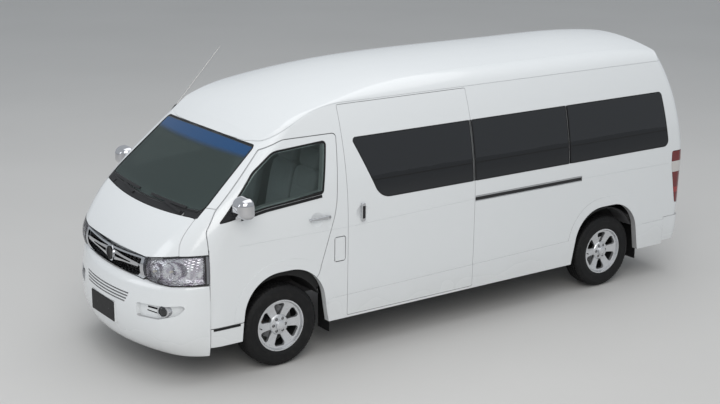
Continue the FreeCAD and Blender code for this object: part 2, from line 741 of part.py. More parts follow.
def hinge_leaves():
    """Body side hinge leaves with their pins, reaching out from the pillar."""
    x, y = hinge_pin()
    leaves = []
    for z in HINGE_ZS:
        half = LEAF_HEIGHT / 2
        leaves.append(box(x - 4.5, x + 4.5, y - 75, y, z - half, z + half))
        reach = half + HINGE_CLEARANCE + 12
        leaves.append(rod((x, y, z - reach), (x, y, z + reach), PIN_RADIUS))
    return leaves


def ahead_of_cowl(offset):
    """Everything ahead of the bonnet's rear edge, an arc in plan; the offset moves the edge forward."""
    centre_x = x_at(COWL_FRONT_X - COWL_FRONT_RADIUS)
    edge = Part.makeCylinder(COWL_FRONT_RADIUS + offset, 500, Vector(centre_x, 0, 1000))
    return box(x_at(300), NOSE_X + 50, -1200, 1200, 1000, 1500).cut(edge)


def bonnet_arm_slots():
    """Slots that the bonnet's hinge arms swing in."""
    return [box(x_at(600), NOSE_X, s * BONNET_HINGE_Y - 22, s * BONNET_HINGE_Y + 22, 1120, 1345)
            for s in (1, -1)]


def make_cab_frame():
    """Front structure: inner nose, hinge pillars, step sills, scuttle, screen flange and bulkhead."""
    nose = layer(FRONT_PANEL + SEAT, FRONT_PANEL + 28).common(
        box(x_at(DOOR_FRONT_X + 15), NOSE_X, -1200, 1200, FLOOR_Z, CAB_BREAK_Z))
    mouth = box(x_at(850), NOSE_X, -430, 430, 640, 960)
    access = front_prism(grown(BONNET, -45), x_at(600), NOSE_X + 50)
    bumper = bumper_shell(-5).cut(bumper_shell(FRONT_PANEL + SEAT)).common(
        box(x_at(300), NOSE_X + 50, -1200, 1200, 0, BUMPER_TOP_Z))
    nose = nose.cut([mouth, access, bumper])
    shelf_z = HINGE_ZS[-1] + LEAF_HEIGHT / 2 + 2
    pillar_zone = fused([
        box(x_at(560), x_at(DOOR_FRONT_X + 75), 300, 1200, BODY_BASE_Z + 5, shelf_z),
        box(x_at(DOOR_FRONT_X) + DOOR_GAP, x_at(DOOR_FRONT_X + 75), 300, 1200, shelf_z - 5, CAB_BREAK_Z - 95),
    ])
    pillar = left_layer(WALL + PIN_BACK / 2 + HINGE_RUNNING_GAP, WALL + 50).common(pillar_zone)
    step_zone = box(x_at(330), x_at(DOOR_FRONT_X - 2), 300, 1200, BODY_BASE_Z, FRONT_DOOR[0][1] - DOOR_GAP)
    step = left_layer(0, WALL).common(step_zone).cut(side_prism(from_axle(FRONT_ARCH), 300, 1200))
    tie = left_layer(WALL - 5, WALL + 30).common(
        box(x_at(570), x_at(DOOR_FRONT_X - 2), 300, 1200, BODY_BASE_Z + 5, FRONT_DOOR[0][1] - DOOR_GAP))
    side = fused([largest(pillar), largest(step), largest(tie)] + hinge_leaves())
    bulkhead = box(x_at(BULKHEAD_X), x_at(BULKHEAD_X + 20), -900, 900, FLOOR_Z, 1150)
    bulkhead = bulkhead.common(shell(FRONT_PANEL + 20))
    behind = box(x_at(300), NOSE_X, -1200, 1200, COWL_LOW_Z, 1390).cut(ahead_of_cowl(-SHUT_GAP))
    scuttle = layer(COWL_INSET + COWL_DEPTH + SEAT, FRONT_PANEL + 25)
    scuttle = scuttle.common(behind).cut(screen_prism(-SCREEN_FLANGE))
    half_width = COWL_HALF_WIDTH - 2
    scuttle = scuttle.common(box(x_at(560), NOSE_X, -half_width, half_width, COWL_LOW_Z, 1365))
    flange = layer(GLASS_INSET + GLASS + SEAT, 32).common(screen_prism(0).cut(screen_prism(-SCREEN_FLANGE)))
    door_zone = side_prism(from_axle(grown(FRONT_DOOR, DOOR_GAP)), 300, 1200)
    flange = flange.cut([door_zone, mirrored(door_zone)])
    frame = fused([nose, side, mirrored(side), bulkhead, scuttle, flange])
    frame = frame.cut(bonnet_arm_slots())
    pins = []
    for s in (1, -1):
        y = s * BONNET_HINGE_Y
        x, z = x_at(BONNET_HINGE_X), BONNET_HINGE_Z
        pins.append(rod((x, y - 24, z), (x, y + 24, z), 5))
    return fused([frame] + pins)


def make_bonnet():
    """The short front lid with its two hinge arms."""
    lid = layer(0, BONNET_THICKNESS).common(front_prism(BONNET, x_at(500), NOSE_X + 50))
    lid = lid.common(ahead_of_cowl(3))
    lid = largest(lid)
    arms = []
    for s in (1, -1):
        y = s * BONNET_HINGE_Y
        profile = ((BONNET_HINGE_X - 12, BONNET_HINGE_Z - 12, 11),
                   (BONNET_HINGE_X - 12, BONNET_HINGE_Z + 12, 11),
                   (BONNET_HINGE_X + 40, BONNET_HINGE_Z - 20, 30), (805, 1190, 8), (775, 1130, 8),
                   (BONNET_HINGE_X + 30, BONNET_HINGE_Z - 60, 40))
        arm = side_prism(from_axle(profile), y - 8, y + 8)
        x, z = x_at(BONNET_HINGE_X), BONNET_HINGE_Z
        eye = rod((x, y - 9, z), (x, y + 9, z), 5 + SEAT)
        arms.append(arm.common(shell(5)).cut(eye))
    return fused([lid] + arms)


def make_fender():
    """The small left panel between the bonnet, the headlamp, the windscreen's corner and the door."""
    panel = layer(0, FRONT_PANEL).common(box(x_at(540), NOSE_X, 400, 1200, LAMP_TOP_Z, CAB_BREAK_Z))
    panel = panel.cut([
        front_prism(grown(BONNET, DOOR_GAP), x_at(400), NOSE_X + 50).common(ahead_of_cowl(-SHUT_GAP)),
        front_prism(grown(HEADLAMP, SHUT_GAP), x_at(400), NOSE_X + 50),
        side_prism(from_axle(grown(FRONT_DOOR, DOOR_GAP)), 300, 1200), screen_prism(0),
        box(x_at(300), NOSE_X, 0, COWL_HALF_WIDTH + 2, COWL_LOW_Z, 1400).cut(ahead_of_cowl(-SHUT_GAP)),
    ])
    return largest(panel)


def make_cowl():
    """The cowl panel between the bonnet and the windscreen."""
    band = box(x_at(300), NOSE_X, -COWL_HALF_WIDTH, COWL_HALF_WIDTH, COWL_LOW_Z, 1400)
    band = band.cut(ahead_of_cowl(-SHUT_GAP))
    band = layer(COWL_INSET, COWL_INSET + COWL_DEPTH).common(band).cut(screen_prism(0))
    x = x_at(BONNET_HINGE_X + 6)
    notches = [box(x, NOSE_X, s * BONNET_HINGE_Y - 14, s * BONNET_HINGE_Y + 14, 1200, 1400)
               for s in (1, -1)]
    return largest(band.cut(notches))


def make_windscreen():
    """The curved windscreen."""
    return largest(layer(GLASS_INSET, GLASS_INSET + GLASS).common(screen_prism(-2)))


def to_nose(outline):
    """A YZ outline carried along X through the nose."""
    return front_prism(outline, x_at(300), NOSE_X + 50)


def flipped(outline):
    """A YZ outline on the other side."""
    return [(-y, z, radius) for y, z, radius in outline]


def make_grille():
    """The grille's bright surround with its two wings and the blank round boss."""
    surround = layer(0, FRONT_PANEL).common(to_nose(grown(GRILLE, -SHUT_GAP))).cut(to_nose(GRILLE_MOUTH))
    parts = [largest(surround)]
    for wing, slot in ((GRILLE_WING, WING_SLOT), (flipped(GRILLE_WING), flipped(WING_SLOT))):
        parts.append(largest(layer(3, GRILLE_WELL - 6).common(to_nose(wing).cut(to_nose(slot)))))
    for s in (1, -1):
        parts.append(largest(layer(8, GRILLE_WELL - 6).common(
            box(x_at(800), NOSE_X, min(s * 440, s * 490), max(s * 440, s * 490), 912, 928))))
    boss = layer(-EMBLEM_PROUD, GRILLE_WELL - 3).common(emblem_rod(EMBLEM_RADIUS))
    face = layer(-2 * EMBLEM_PROUD, 2 - EMBLEM_PROUD).common(emblem_rod(EMBLEM_RADIUS - 9))
    return fused(parts + [largest(boss.cut(face))])


def emblem_rod(radius):
    """A cylinder along X through the round boss."""
    return rod((x_at(900), 0, EMBLEM_Z), (NOSE_X, 0, EMBLEM_Z), radius)


def make_grille_mesh():
    """The lattice behind the grille's mouth: level slats on upright bars."""
    count = int((GRILLE_MOUTH[0][1] - GRILLE_MOUTH[3][1]) / SLAT_PITCH)
    bars = []
    for i in range(count + 1):
        z = GRILLE_MOUTH[3][1] + (i + 0.5) * SLAT_PITCH
        bars.append(box(x_at(850), NOSE_X, -500, 500, z - SLAT_THICKNESS / 2, z + SLAT_THICKNESS / 2))
    reach = int(480 / BAR_PITCH)
    for i in range(-reach, reach + 1):
        y = i * BAR_PITCH
        bars.append(box(x_at(850), NOSE_X, y - SLAT_THICKNESS / 2, y + SLAT_THICKNESS / 2, 790, 1000))
    lattice = fused(bars)
    rim = to_nose(grown(GRILLE_MOUTH, -SEAT)).cut(to_nose(grown(GRILLE_MOUTH, -6)))
    lattice = lattice.common(to_nose(grown(GRILLE_MOUTH, -5))).fuse(rim)
    return largest(layer(GRILLE_WELL, FRONT_PANEL).common(lattice))


def lamp_zone(margin):
    """The left headlamp's outline through the nose, drawn in by a margin on every side."""
    zone = to_nose(grown(HEADLAMP, -margin))
    zone = zone.common(box(x_at(DOOR_FRONT_X + DOOR_GAP) + margin, NOSE_X + 50, 0, 1200, 600, 1200))
    return zone.cut(to_nose(grown(BONNET, DOOR_GAP + margin)))


def make_headlamp():
    """The left headlamp: its clear cover, and its housing with two bowls."""
    lens = largest(layer(0, LENS_THICKNESS).common(lamp_zone(0)))
    housing = layer(LENS_THICKNESS + SEAT, FRONT_PANEL).common(lamp_zone(0))
    cavity = layer(0, FRONT_PANEL - 5).common(lamp_zone(LAMP_RIM))
    parts = [largest(housing.cut(cavity))]
    for y, z, radius in LAMP_BOWLS:
        cup = layer(LENS_THICKNESS + 6, FRONT_PANEL - 4)
        cup = cup.common(rod((x_at(700), y, z), (NOSE_X, y, z), radius))
        ball = radius * 1.25
        cup = cup.cut(Part.makeSphere(ball, Vector(nose_x(y + 12, z) - 36 + ball, y, z)))
        parts.append(largest(cup.cut(to_nose(grown(BONNET, DOOR_GAP + 4)))))
    step = layer(LENS_THICKNESS + 14, FRONT_PANEL - 4).common(lamp_zone(4))
    sill = box(x_at(600), NOSE_X, 540, 1000, 800, 846)
    parts.append(largest(step.common(sill)))
    return lens, fused(parts)


def plate_holes(x0, x1, z):
    """The two fixing holes of a number plate."""
    return [rod((x0, s * PLATE_HOLE_SPACING / 2, z), (x1, s * PLATE_HOLE_SPACING / 2, z), PLATE_HOLE_RADIUS)
            for s in (1, -1)]


def bumper_layer(outer, inner):
    """The part of the bumpers' form between two insets."""
    return bumper_shell(outer).cut(bumper_shell(inner))


def make_front_bumper():
    """The front bumper with its slots, lamp recesses and number plate shelf."""
    skin = bumper_layer(0, FRONT_PANEL)
    skin = skin.common(box(x_at(DOOR_FRONT_X + DOOR_GAP), NOSE_X + 50, -1200, 1200, 236, 811))
    face = bumper_layer(-10, SLOT_DEPTH)
    cutters = []
    for bottom, top, half in SLOTS:
        corners = ((-half, top, 5), (half, top, 5), (half - 10, bottom, 5), (10 - half, bottom, 5))
        cutters.append(to_nose(corners))
    above = [to_nose(grown(GRILLE, SHUT_GAP))]
    above += [to_nose(grown(lamp, SHUT_GAP)) for lamp in (HEADLAMP, flipped(HEADLAMP))]
    cutters += [c.common(shell(-SHUT_GAP)) for c in above]
    cutters += [to_nose(fog).common(face) for fog in (FOG, flipped(FOG))]
    cutters += [fog_rod(s, FOG_RADIUS + SEAT).common(face) for s in (1, -1)]
    skin = largest(skin.cut(cutters))
    half_width, half_height = PLATE_WIDTH / 2 + 8, PLATE_HEIGHT / 2 + 8
    pad = box(NOSE_X - 50, NOSE_X - 4, -half_width, half_width, PLATE_Z - half_height, PLATE_Z + half_height)
    rail = box(x_at(1000), x_at(1075), -400, 400, 560, 592).common(bumper_shell(FRONT_PANEL - 5))
    brackets = [box(x_at(840) + SEAT, x_at(1055), s * RAIL_Y - 35, s * RAIL_Y + 35, 440, 500)
                for s in (1, -1)]
    return fused([skin, pad, rail] + brackets).cut(plate_holes(NOSE_X - 40, NOSE_X, PLATE_Z))


def fog_rod(side, radius):
    """A cylinder along X at a fog lamp's place."""
    return rod((x_at(700), side * FOG_Y, FOG_LAMP_Z), (NOSE_X, side * FOG_Y, FOG_LAMP_Z), radius)


def make_fog_lamps():
    """The round lamps in the bumper's recesses, each with a shallow dished face."""
    lamp = largest(bumper_layer(6, SLOT_DEPTH - SEAT).common(fog_rod(1, FOG_RADIUS)))
    bowl = bumper_layer(0, 12).common(fog_rod(1, FOG_RADIUS - 8))
    return both_sides(lamp.cut(bowl))


def make_rear_bumper():
    """The rear bumper, standing a little proud of the body."""
    skin = bumper_shell(0).cut(bumper_shell(FRONT_PANEL))
    skin = skin.common(box(TAIL_X - 50, REAR_BUMPER_X - SHUT_GAP, -1200, 1200, 330, REAR_BUMPER_TOP_Z))
    brackets = [box(TAIL_X + 30, TAIL_X + 260 - SEAT, s * RAIL_Y - 35, s * RAIL_Y + 35, 420, 480)
                for s in (1, -1)]
    return fused([largest(skin)] + brackets)


def gate_line():
    """The tailgate's hinge line: its x and z."""
    levels = [level for level in SHELL_LEVELS if level[0] in (1825, 2080)]
    (z0, *_, low), (z1, *_, high) = levels
    inset = low + (high - low) * (GATE_HINGE_Z - z0) / (z1 - z0)
    return TAIL_X + inset + GATE_PIN_DEEP, GATE_HINGE_Z


def make_tailgate(panels):
    """The tailgate with its window cut and pockets for its hinge leaves."""
    top = max(z for y, z, radius in TAILGATE)
    outline = [(y, z, GATE_CORNER if z == top else radius) for y, z, radius in TAILGATE]
    gate = panels.hollow.common(front_prism(outline, TAIL_X - 50, TAIL_X + 700))
    rebate = layer(-10, GLASS_INSET + GLASS + SEAT).common(
        front_prism(TAILGATE_GLASS, TAIL_X - 50, TAIL_X + 500))
    opening = front_prism(grown(TAILGATE_GLASS, -REBATE), TAIL_X - 50, TAIL_X + 500)
    x, z = gate_line()
    pockets = []
    half = LEAF_HEIGHT / 2 + HINGE_CLEARANCE
    for s in (1, -1):
        y = s * GATE_HINGE_Y
        pockets.append(box(x - 7, x + 120, y - half, y + half, z - 24, z + 60))
        pockets.append(rod((x, y - half - 14, z), (x, y + half + 14, z), PIN_RADIUS + SEAT))
    half_width, half_height = PLATE_WIDTH / 2 + 15, PLATE_HEIGHT / 2 + 12
    recess = box(TAIL_X - 50, rear_plate_x(), -half_width, half_width,
                 REAR_PLATE_Z - half_height, REAR_PLATE_Z + half_height)
    holes = plate_holes(TAIL_X - 20, TAIL_X + 45, REAR_PLATE_Z)
    return largest(gate.cut([rebate, opening, recess] + pockets + holes))


def gate_leaves():
    """Hinge brackets that hang inside the roof's rear edge, with the tailgate's pins."""
    x, z = gate_line()
    half = LEAF_HEIGHT / 2
    leaves = []
    for s in (1, -1):
        y = s * GATE_HINGE_Y
        drop = layer(WALL + PIN_BACK / 2 + 2, WALL + 34)
        drop = drop.common(box(TAIL_X, TAIL_X + 500, y - half, y + half, z - 12, z + 110))
        root = layer(WALL - 8, WALL + 34)
        root = root.common(box(TAIL_X, TAIL_X + 500, y - half, y + half, z + 80, z + 140))
        arm = box(x - 4.5, x + 75, y - half, y + half, z - 4.5, z + 4.5)
        reach = half + HINGE_CLEARANCE + 12
        pin = rod((x, y - reach, z), (x, y + reach, z), PIN_RADIUS)
        leaves.append(fused([largest(drop), largest(root), arm, pin]))
    return leaves


def make_tailgate_window():
    """The tailgate's glass."""
    pane = front_prism(grown(TAILGATE_GLASS, -2), TAIL_X - 50, TAIL_X + 500)
    return largest(layer(GLASS_INSET, GLASS_INSET + GLASS).common(pane))


def make_tail_lamps():
    """Both tail lamps."""
    lens = left_layer(0, LAMP_DEPTH).common(side_prism(from_axle(TAIL_LAMP), LAMP_INNER_Y + SHUT_GAP, 1200))
    lens = lens.cut(gate_prism(TAILGATE_GAP))
    return both_sides(largest(lens))


def make_sliding_door(panels):
    """The sliding door, with its window cut and its handle in a round recess."""
    door = panels.left.common(side_prism(from_axle(SLIDING_DOOR), 300, 1200))
    return largest(door.cut(window_cut(SLIDING_GLASS) + [dish(SLIDING_HANDLE_X, SLIDING_HANDLE_Z)]))


def make_floor():
    """The floor with its raised cab platform and four wheelhouses, open over the wheels and the engine."""
    top = FLOOR_Z + FLOOR_THICKNESS
    cab_x = x_at(-625)
    rear_room = shell(WALL + SEAT).common(box(TAIL_X + 95, cab_x, -1200, 1200, FLOOR_Z - 60, PLATFORM_Z + 50))
    cab_room = shell(WALL + CAB_CLEAR).common(
        box(cab_x, x_at(545), -1200, 1200, FLOOR_Z - 60, PLATFORM_Z + 50))
    foot_room = shell(WALL + 50 + SEAT).common(
        box(x_at(545), x_at(BULKHEAD_X) - SEAT, -1200, 1200, FLOOR_Z - 60, PLATFORM_Z + 50))
    room = fused([rear_room, cab_room, foot_room])
    flat = box(TAIL_X, NOSE_X, -1200, 1200, FLOOR_Z, top)
    platform = box(x_at(PLATFORM_BACK_X), x_at(PLATFORM_FRONT_X), -1200, 1200, top - 1, PLATFORM_Z)
    hoods, wells = [], []
    for axle_x, inner_y in ((FRONT_AXLE_X, 470.0), (REAR_AXLE_X, 660.0)):
        for s in (1, -1):
            outer = (axle_x, s * 1000, TYRE_RADIUS)
            hoods.append(rod((axle_x, s * inner_y, TYRE_RADIUS), outer, WHEELHOUSE_RADIUS))
            wells.append(rod((axle_x, s * (inner_y + WHEELHOUSE_WALL), TYRE_RADIUS), outer,
                             WHEELHOUSE_RADIUS - WHEELHOUSE_WALL))
    bay = box(x_at(-750), x_at(160), -330, 330, FLOOR_Z - 100, PLATFORM_Z - 25)
    return largest(fused([flat, platform] + hoods).common(room).cut(wells + [bay]))


def make_chassis():
    """Two longitudinal rails with cross members, outriggers, engine mounts, jacking pads and a towing eye."""
    rail_front, rail_back = x_at(840), TAIL_X + 260
    top = RAIL_BASE_Z + RAIL_HEIGHT
    inner = RAIL_Y - RAIL_WIDTH / 2
    parts = []
    for s in (1, -1):
        parts.append(box(rail_back, rail_front, s * RAIL_Y - RAIL_WIDTH / 2, s * RAIL_Y + RAIL_WIDTH / 2,
                         RAIL_BASE_Z, top))
        y0, y1 = sorted((s * (ENGINE_HALF_WIDTH + SEAT), s * (inner + 5)))
        parts.append(box(x_at(-260), x_at(-200), y0, y1, RAIL_BASE_Z + 30, RAIL_BASE_Z + 80))
        for x in JACK_POINTS:
            parts.append(box(x_at(x) - 40, x_at(x) + 40, s * RAIL_Y - 40, s * RAIL_Y + 40,
                             RAIL_BASE_Z - 15, RAIL_BASE_Z + 5))
    for x in CROSS_MEMBERS:
        parts.append(box(x_at(x) - 35, x_at(x) + 35, -RAIL_Y, RAIL_Y, RAIL_BASE_Z + 20, top - 20))
    for x in OUTRIGGERS:
        parts.append(box(x_at(x) - 30, x_at(x) + 30, -820, 820, top - 40, FLOOR_Z - SEAT))
    eye_x, half, reach = rail_front + 2 * TOW_EYE_RADIUS, TOW_EYE_THICKNESS / 2, 2 * TOW_EYE_RADIUS
    parts.append(box(rail_front - 60, eye_x, RAIL_Y - reach, RAIL_Y + reach,
                     RAIL_BASE_Z - half, RAIL_BASE_Z + half))
    parts.append(rod((eye_x, RAIL_Y, RAIL_BASE_Z - half), (eye_x, RAIL_Y, RAIL_BASE_Z + half), reach))
    low, high = RAIL_BASE_Z - 2 * half, RAIL_BASE_Z + 2 * half
    hole = rod((eye_x, RAIL_Y, low), (eye_x, RAIL_Y, high), TOW_EYE_RADIUS)
    return fused(parts).cut(hole)


def make_tyre(x, y):
    """A tyre with a rounded tread and sidewalls that bulge above the bead."""
    half = TYRE_WIDTH / 2
    bead = RIM_RADIUS + 3
    profile = [
        (bead, -half + 22), (bead + 18, -half + 6), (bead + 62, -half), (TYRE_RADIUS - 22, -half + 9),
        (TYRE_RADIUS - 4, -half + 24), (TYRE_RADIUS, -half + 50), (TYRE_RADIUS, half - 50),
        (TYRE_RADIUS - 4, half - 24), (TYRE_RADIUS - 22, half - 9), (bead + 62, half), (bead + 18, half - 6),
        (bead, half - 22),
    ]
    points = [Vector(0, w, r) for r, w in profile]
    ring = Part.Face(Part.makePolygon(points + points[:1])).revolve(Vector(0, 0, 0), Vector(0, 1, 0), 360)
    return ring.translate(Vector(x, y, TYRE_RADIUS))


def make_rim(x, y):
    """A six-spoke wheel: barrel, lips, spokes and hub, facing +Y."""
    half = TYRE_WIDTH / 2
    lip = RIM_RADIUS + 3
    barrel = [
        (lip, half - 22), (lip + 6, half - 16.4), (lip + 6, half - 11), (lip - 4, half - 11),
        (lip - 14, half - 40), (lip - 22, -half + 30), (lip - 4, -half + 11), (lip + 6, -half + 11),
        (lip + 6, -half + 16.4), (lip, -half + 22), (lip - 8, -half + 34), (lip - 8, half - 34),
    ]
    points = [Vector(0, w, r) for r, w in barrel]
    ring = Part.Face(Part.makePolygon(points + points[:1])).revolve(Vector(0, 0, 0), Vector(0, 1, 0), 360)
    dished = [
        (0, half - 30), (46, half - 30), (78, half - 36), (86, half - 46), (120, half - 44),
        (lip - 12, half - 30), (lip - 12, half - 56), (120, half - 68), (86, half - 74), (0, half - 74),
    ]
    points = [Vector(0, w, r) for r, w in dished]
    disc = Part.Face(Part.makePolygon(points + points[:1])).revolve(Vector(0, 0, 0), Vector(0, 1, 0), 360)
    cutters = []
    for i in range(SPOKES):
        outline = ((84, -14, 6), (84, 14, 6), (180, 58, 20), (180, -58, 20))
        hole = rounded_face(outline, lambda u, v: Vector(u, half - 90, v)).extrude(Vector(0, 90, 0))
        hole.rotate(Vector(0, 0, 0), Vector(0, 1, 0), 360 / SPOKES * (i + 0.5))
        pocket = Part.makeCylinder(13, 40, Vector(NUT_CIRCLE, half - 50, 0), Vector(0, 1, 0))
        pocket.rotate(Vector(0, 0, 0), Vector(0, 1, 0), 360 / SPOKES * i)
        cutters += [hole, pocket]
    hub = Part.makeCylinder(40, 66, Vector(0, half - 75, 0), Vector(0, 1, 0))
    hub = hub.makeFillet(6, [e for e in hub.Edges if e.BoundBox.YMin > half - 10])
    bore_radius = AXLE_STUB_RADIUS + BEARING_CLEARANCE
    bore = Part.makeCylinder(bore_radius, 55.5, Vector(0, half - 77, 0), Vector(0, 1, 0))
    wheel = fused([ring, disc.cut(cutters), hub]).cut(bore)
    return wheel.translate(Vector(x, y, TYRE_RADIUS))


def make_knuckle():
    """The left steering knuckle: upright with its kingpin, stub axle and brake disc."""
    x, z = FRONT_AXLE_X, TYRE_RADIUS
    stub = rod((x, KINGPIN_Y, z), (x, WHEEL_Y + 74, z), AXLE_STUB_RADIUS)
    upright = box(x - 32, x + 32, KINGPIN_Y - 24, KINGPIN_Y + 24, z - 100, z + 100)
    disc = rod((x, KINGPIN_Y + 34, z), (x, KINGPIN_Y + 52, z), 138)
    arm = box(x - 150, x - 20, KINGPIN_Y - 12, KINGPIN_Y + 12, z - 70, z - 50)
    bore = rod((x, KINGPIN_Y, z - 120), (x, KINGPIN_Y, z + 120), KINGPIN_RADIUS + SEAT)
    return fused([stub, upright, disc, arm]).cut(bore)


def make_front_suspension():
    """Cross member with upper and lower arms, kingpins and the steering rack with its rods."""
    x, z = FRONT_AXLE_X, TYRE_RADIUS
    inner, outer = RAIL_Y - RAIL_WIDTH / 2 - SEAT, RAIL_Y + RAIL_WIDTH / 2 + SEAT
    parts = [box(x - 90, x + 90, -inner, inner, 300, RAIL_BASE_Z + 10)]
    for s in (1, -1):
        for low, high, start in ((z - 135, z - 106, inner - 20), (z + 106, z + 130, outer + 2)):
            face = rounded_face(((x - 20, s * (KINGPIN_Y + 20), 0), (x + 20, s * (KINGPIN_Y + 20), 0),
                                 (x + 120, s * start, 0), (x - 120, s * start, 0)),
                                lambda u, v, low=low: Vector(u, v, low))
            parts.append(face.extrude(Vector(0, 0, high - low)))
        parts.append(rod((x, s * KINGPIN_Y, z - 110), (x, s * KINGPIN_Y, z + 110), KINGPIN_RADIUS))
        y0, y1 = sorted((s * (inner - 34), s * inner))
        parts.append(box(x - 90, x + 90, y0, y1, z - 135, RAIL_BASE_Z + 10))
        y0, y1 = sorted((s * outer, s * (outer + 45)))
        parts.append(box(x - 110, x + 110, y0, y1, z + 60, z + 130))
        parts.append(rod((x - 170, s * 340, z - 60), (x - 170, s * 560, z - 58), 11))
        parts.append(box(x - 190, x - 80, s * 300 - 20, s * 300 + 20, z - 80, z - 20))
    parts.append(rod((x - 170, -360, z - 60), (x - 170, 360, z - 60), 26))
    return fused(parts)


def make_rear_axle():
    """The beam axle with its differential, leaf springs and stub ends."""
    x, z = REAR_AXLE_X, TYRE_RADIUS
    parts = [rod((x, -WHEEL_Y - 74, z), (x, WHEEL_Y + 74, z), AXLE_STUB_RADIUS),
             rod((x, -690, z), (x, 690, z), 42), Part.makeSphere(135, Vector(x, 0, z))]
    for s in (1, -1):
        parts.append(rod((x, s * 640, z), (x, s * 692, z), 120))
        y0, y1 = s * 540 - 35, s * 540 + 35
        spring = [(x - 620, 395), (x - 300, z + 62), (x, z + 46), (x + 300, z + 62), (x + 620, 395)]
        outline = [Vector(a, y0, b) for a, b in spring] + [Vector(a, y0, b - 16) for a, b in reversed(spring)]
        parts.append(Part.Face(Part.makePolygon(outline + outline[:1])).extrude(Vector(0, y1 - y0, 0)))
        parts.append(box(x - 55, x + 55, y0, y1, z + 20, z + 52))
        hanger0, hanger1 = sorted((s * (RAIL_Y + RAIL_WIDTH / 2 + SEAT), s * 575))
        for end in (x - 620, x + 620):
            parts.append(box(end - 20, end + 20, hanger0, hanger1, 372, 430))
    return fused(parts)


def make_seat(x, y, width, base_z, back_height, lean=12.0):
    """One seat: cushion on a pedestal, leaning back and headrest."""
    side0, side1 = y - width / 2, y + width / 2
    cushion = side_prism(((x, base_z + 160, 40), (x + 480, base_z + 170, 30), (x + 480, base_z + 290, 50),
                          (x, base_z + 275, 30)), side0, side1)
    back = side_prism(((x - 95, base_z + 180, 20), (x + 20, base_z + 180, 20),
                       (x + 10, base_z + 200 + back_height, 40),
                       (x - 60, base_z + 200 + back_height, 30)), side0, side1)
    rest = side_prism(((x - 75, base_z + 190 + back_height, 20), (x, base_z + 190 + back_height, 20),
                       (x, base_z + 360 + back_height, 30),
                       (x - 65, base_z + 360 + back_height, 30)), y - 130, y + 130)
    for piece in (back, rest):
        piece.rotate(Vector(x, y, base_z + 220), Vector(0, 1, 0), -lean)
    base = box(x + 40, x + 420, side0 + 50, side1 - 50, base_z, base_z + 162)
    return fused([cushion, back, rest, base])


def make_cab_seats():
    """Driver's seat on the right and the passengers' seat on the left."""
    base = PLATFORM_Z + SEAT
    x = x_at(CAB_SEAT_X)
    return Part.makeCompound([make_seat(x, y, w, base, SEAT_BACK_HEIGHT) for y, w in CAB_SEATS])


def make_passenger_seats():
    """Rows of seats behind the cab, with an aisle left of the middle."""
    base = FLOOR_Z + FLOOR_THICKNESS + SEAT
    seats = []
    for x, left_w, right_w, outer in SEAT_ROWS:
        seats.append(make_seat(x_at(x), outer - left_w / 2, left_w, base, SEAT_BACK_HEIGHT))
        seats.append(make_seat(x_at(x), right_w / 2 - outer, right_w, base, SEAT_BACK_HEIGHT))
    return Part.makeCompound(seats)


def make_dashboard():
    """The dashboard with its steering column and centre stack."""
    room = shell(FRONT_PANEL + 62).common(box(x_at(330), x_at(BULKHEAD_X) - SEAT, -1200, 1200, 1000, 1262))
    under = side_prism([(x_at(200), 1300, 0), (x_at(200), 900, 0), (x_at(560), 900, 0), (x_at(500), 1050, 60),
                        (x_at(400), 1120, 60), (x_at(420), 1240, 40), (x_at(460), 1300, 0)], -1200, 1200)
    form = largest(room.cut([under] + bonnet_arm_slots()))
    axis = wheel_axis()
    low = wheel_centre() - axis * (38 + SEAT)
    column = Part.makeCylinder(30, 270, low - axis * 270, axis)
    stand = box(x_at(470), x_at(BULKHEAD_X) - SEAT, -200, 200, FLOOR_Z + FLOOR_THICKNESS + SEAT, 1100)
    return fused([form, column, stand])


def wheel_axis():
    """The steering wheel's axis, pointing at the driver."""
    lean = math.radians(STEERING_LEAN)
    return Vector(-math.cos(lean), 0, math.sin(lean))


def wheel_centre():
    """The middle of the steering wheel."""
    return Vector(x_at(STEERING_X), -STEERING_Y, STEERING_Z)


def make_steering_wheel():
    """The steering wheel: rim, hub and three spokes."""
    centre, axis = wheel_centre(), wheel_axis()
    ring = Part.makeTorus(185, 14, Vector(0, 0, 0), Vector(0, 0, 1))
    hub = Part.makeCylinder(60, 40, Vector(0, 0, -38))
    spokes = [box(-12, 12, -186, 186, -8, 8), box(0, 186, -12, 12, -8, 8)]
    wheel = fused([ring, hub] + spokes)
    wheel.Placement = FreeCAD.Placement(centre, FreeCAD.Rotation(Vector(0, 0, 1), axis))
    return wheel


def make_mirror():
    """The left door mirror: foot, arm and domed housing with a flat back."""
    x = x_at(MIRROR_X)
    full = [(918, 1322, 45), (1118, 1330, 55), (1112, 1493, 55), (932, 1493, 50)]
    sections = [(x - 45, grown(full, -8)), (x - 32, full), (x + 12, grown(full, -2)),
                (x + 38, grown(full, -12)),
                (x + 56, grown(full, -27)), (x + 68, grown(full, -46)), (x + 73, grown(full, -66))]
    housing = lofted(sections)
    glass_well = front_prism(grown(full, -22), x - 60, x - 41)
    outline = ((x - 22, 1306, 10), (x + 38, 1306, 15), (x + 30, 1352, 15), (x - 15, 1352, 10))
    arm = side_prism(outline, 850, 960)
    foot = side_prism(((x - 60, 1300, 10), (x + 110, 1286, 10), (x + 20, 1410, 20)), 800, 908)
    return largest(fused([housing.cut(glass_well), arm, foot]).cut(shell(-SEAT)))


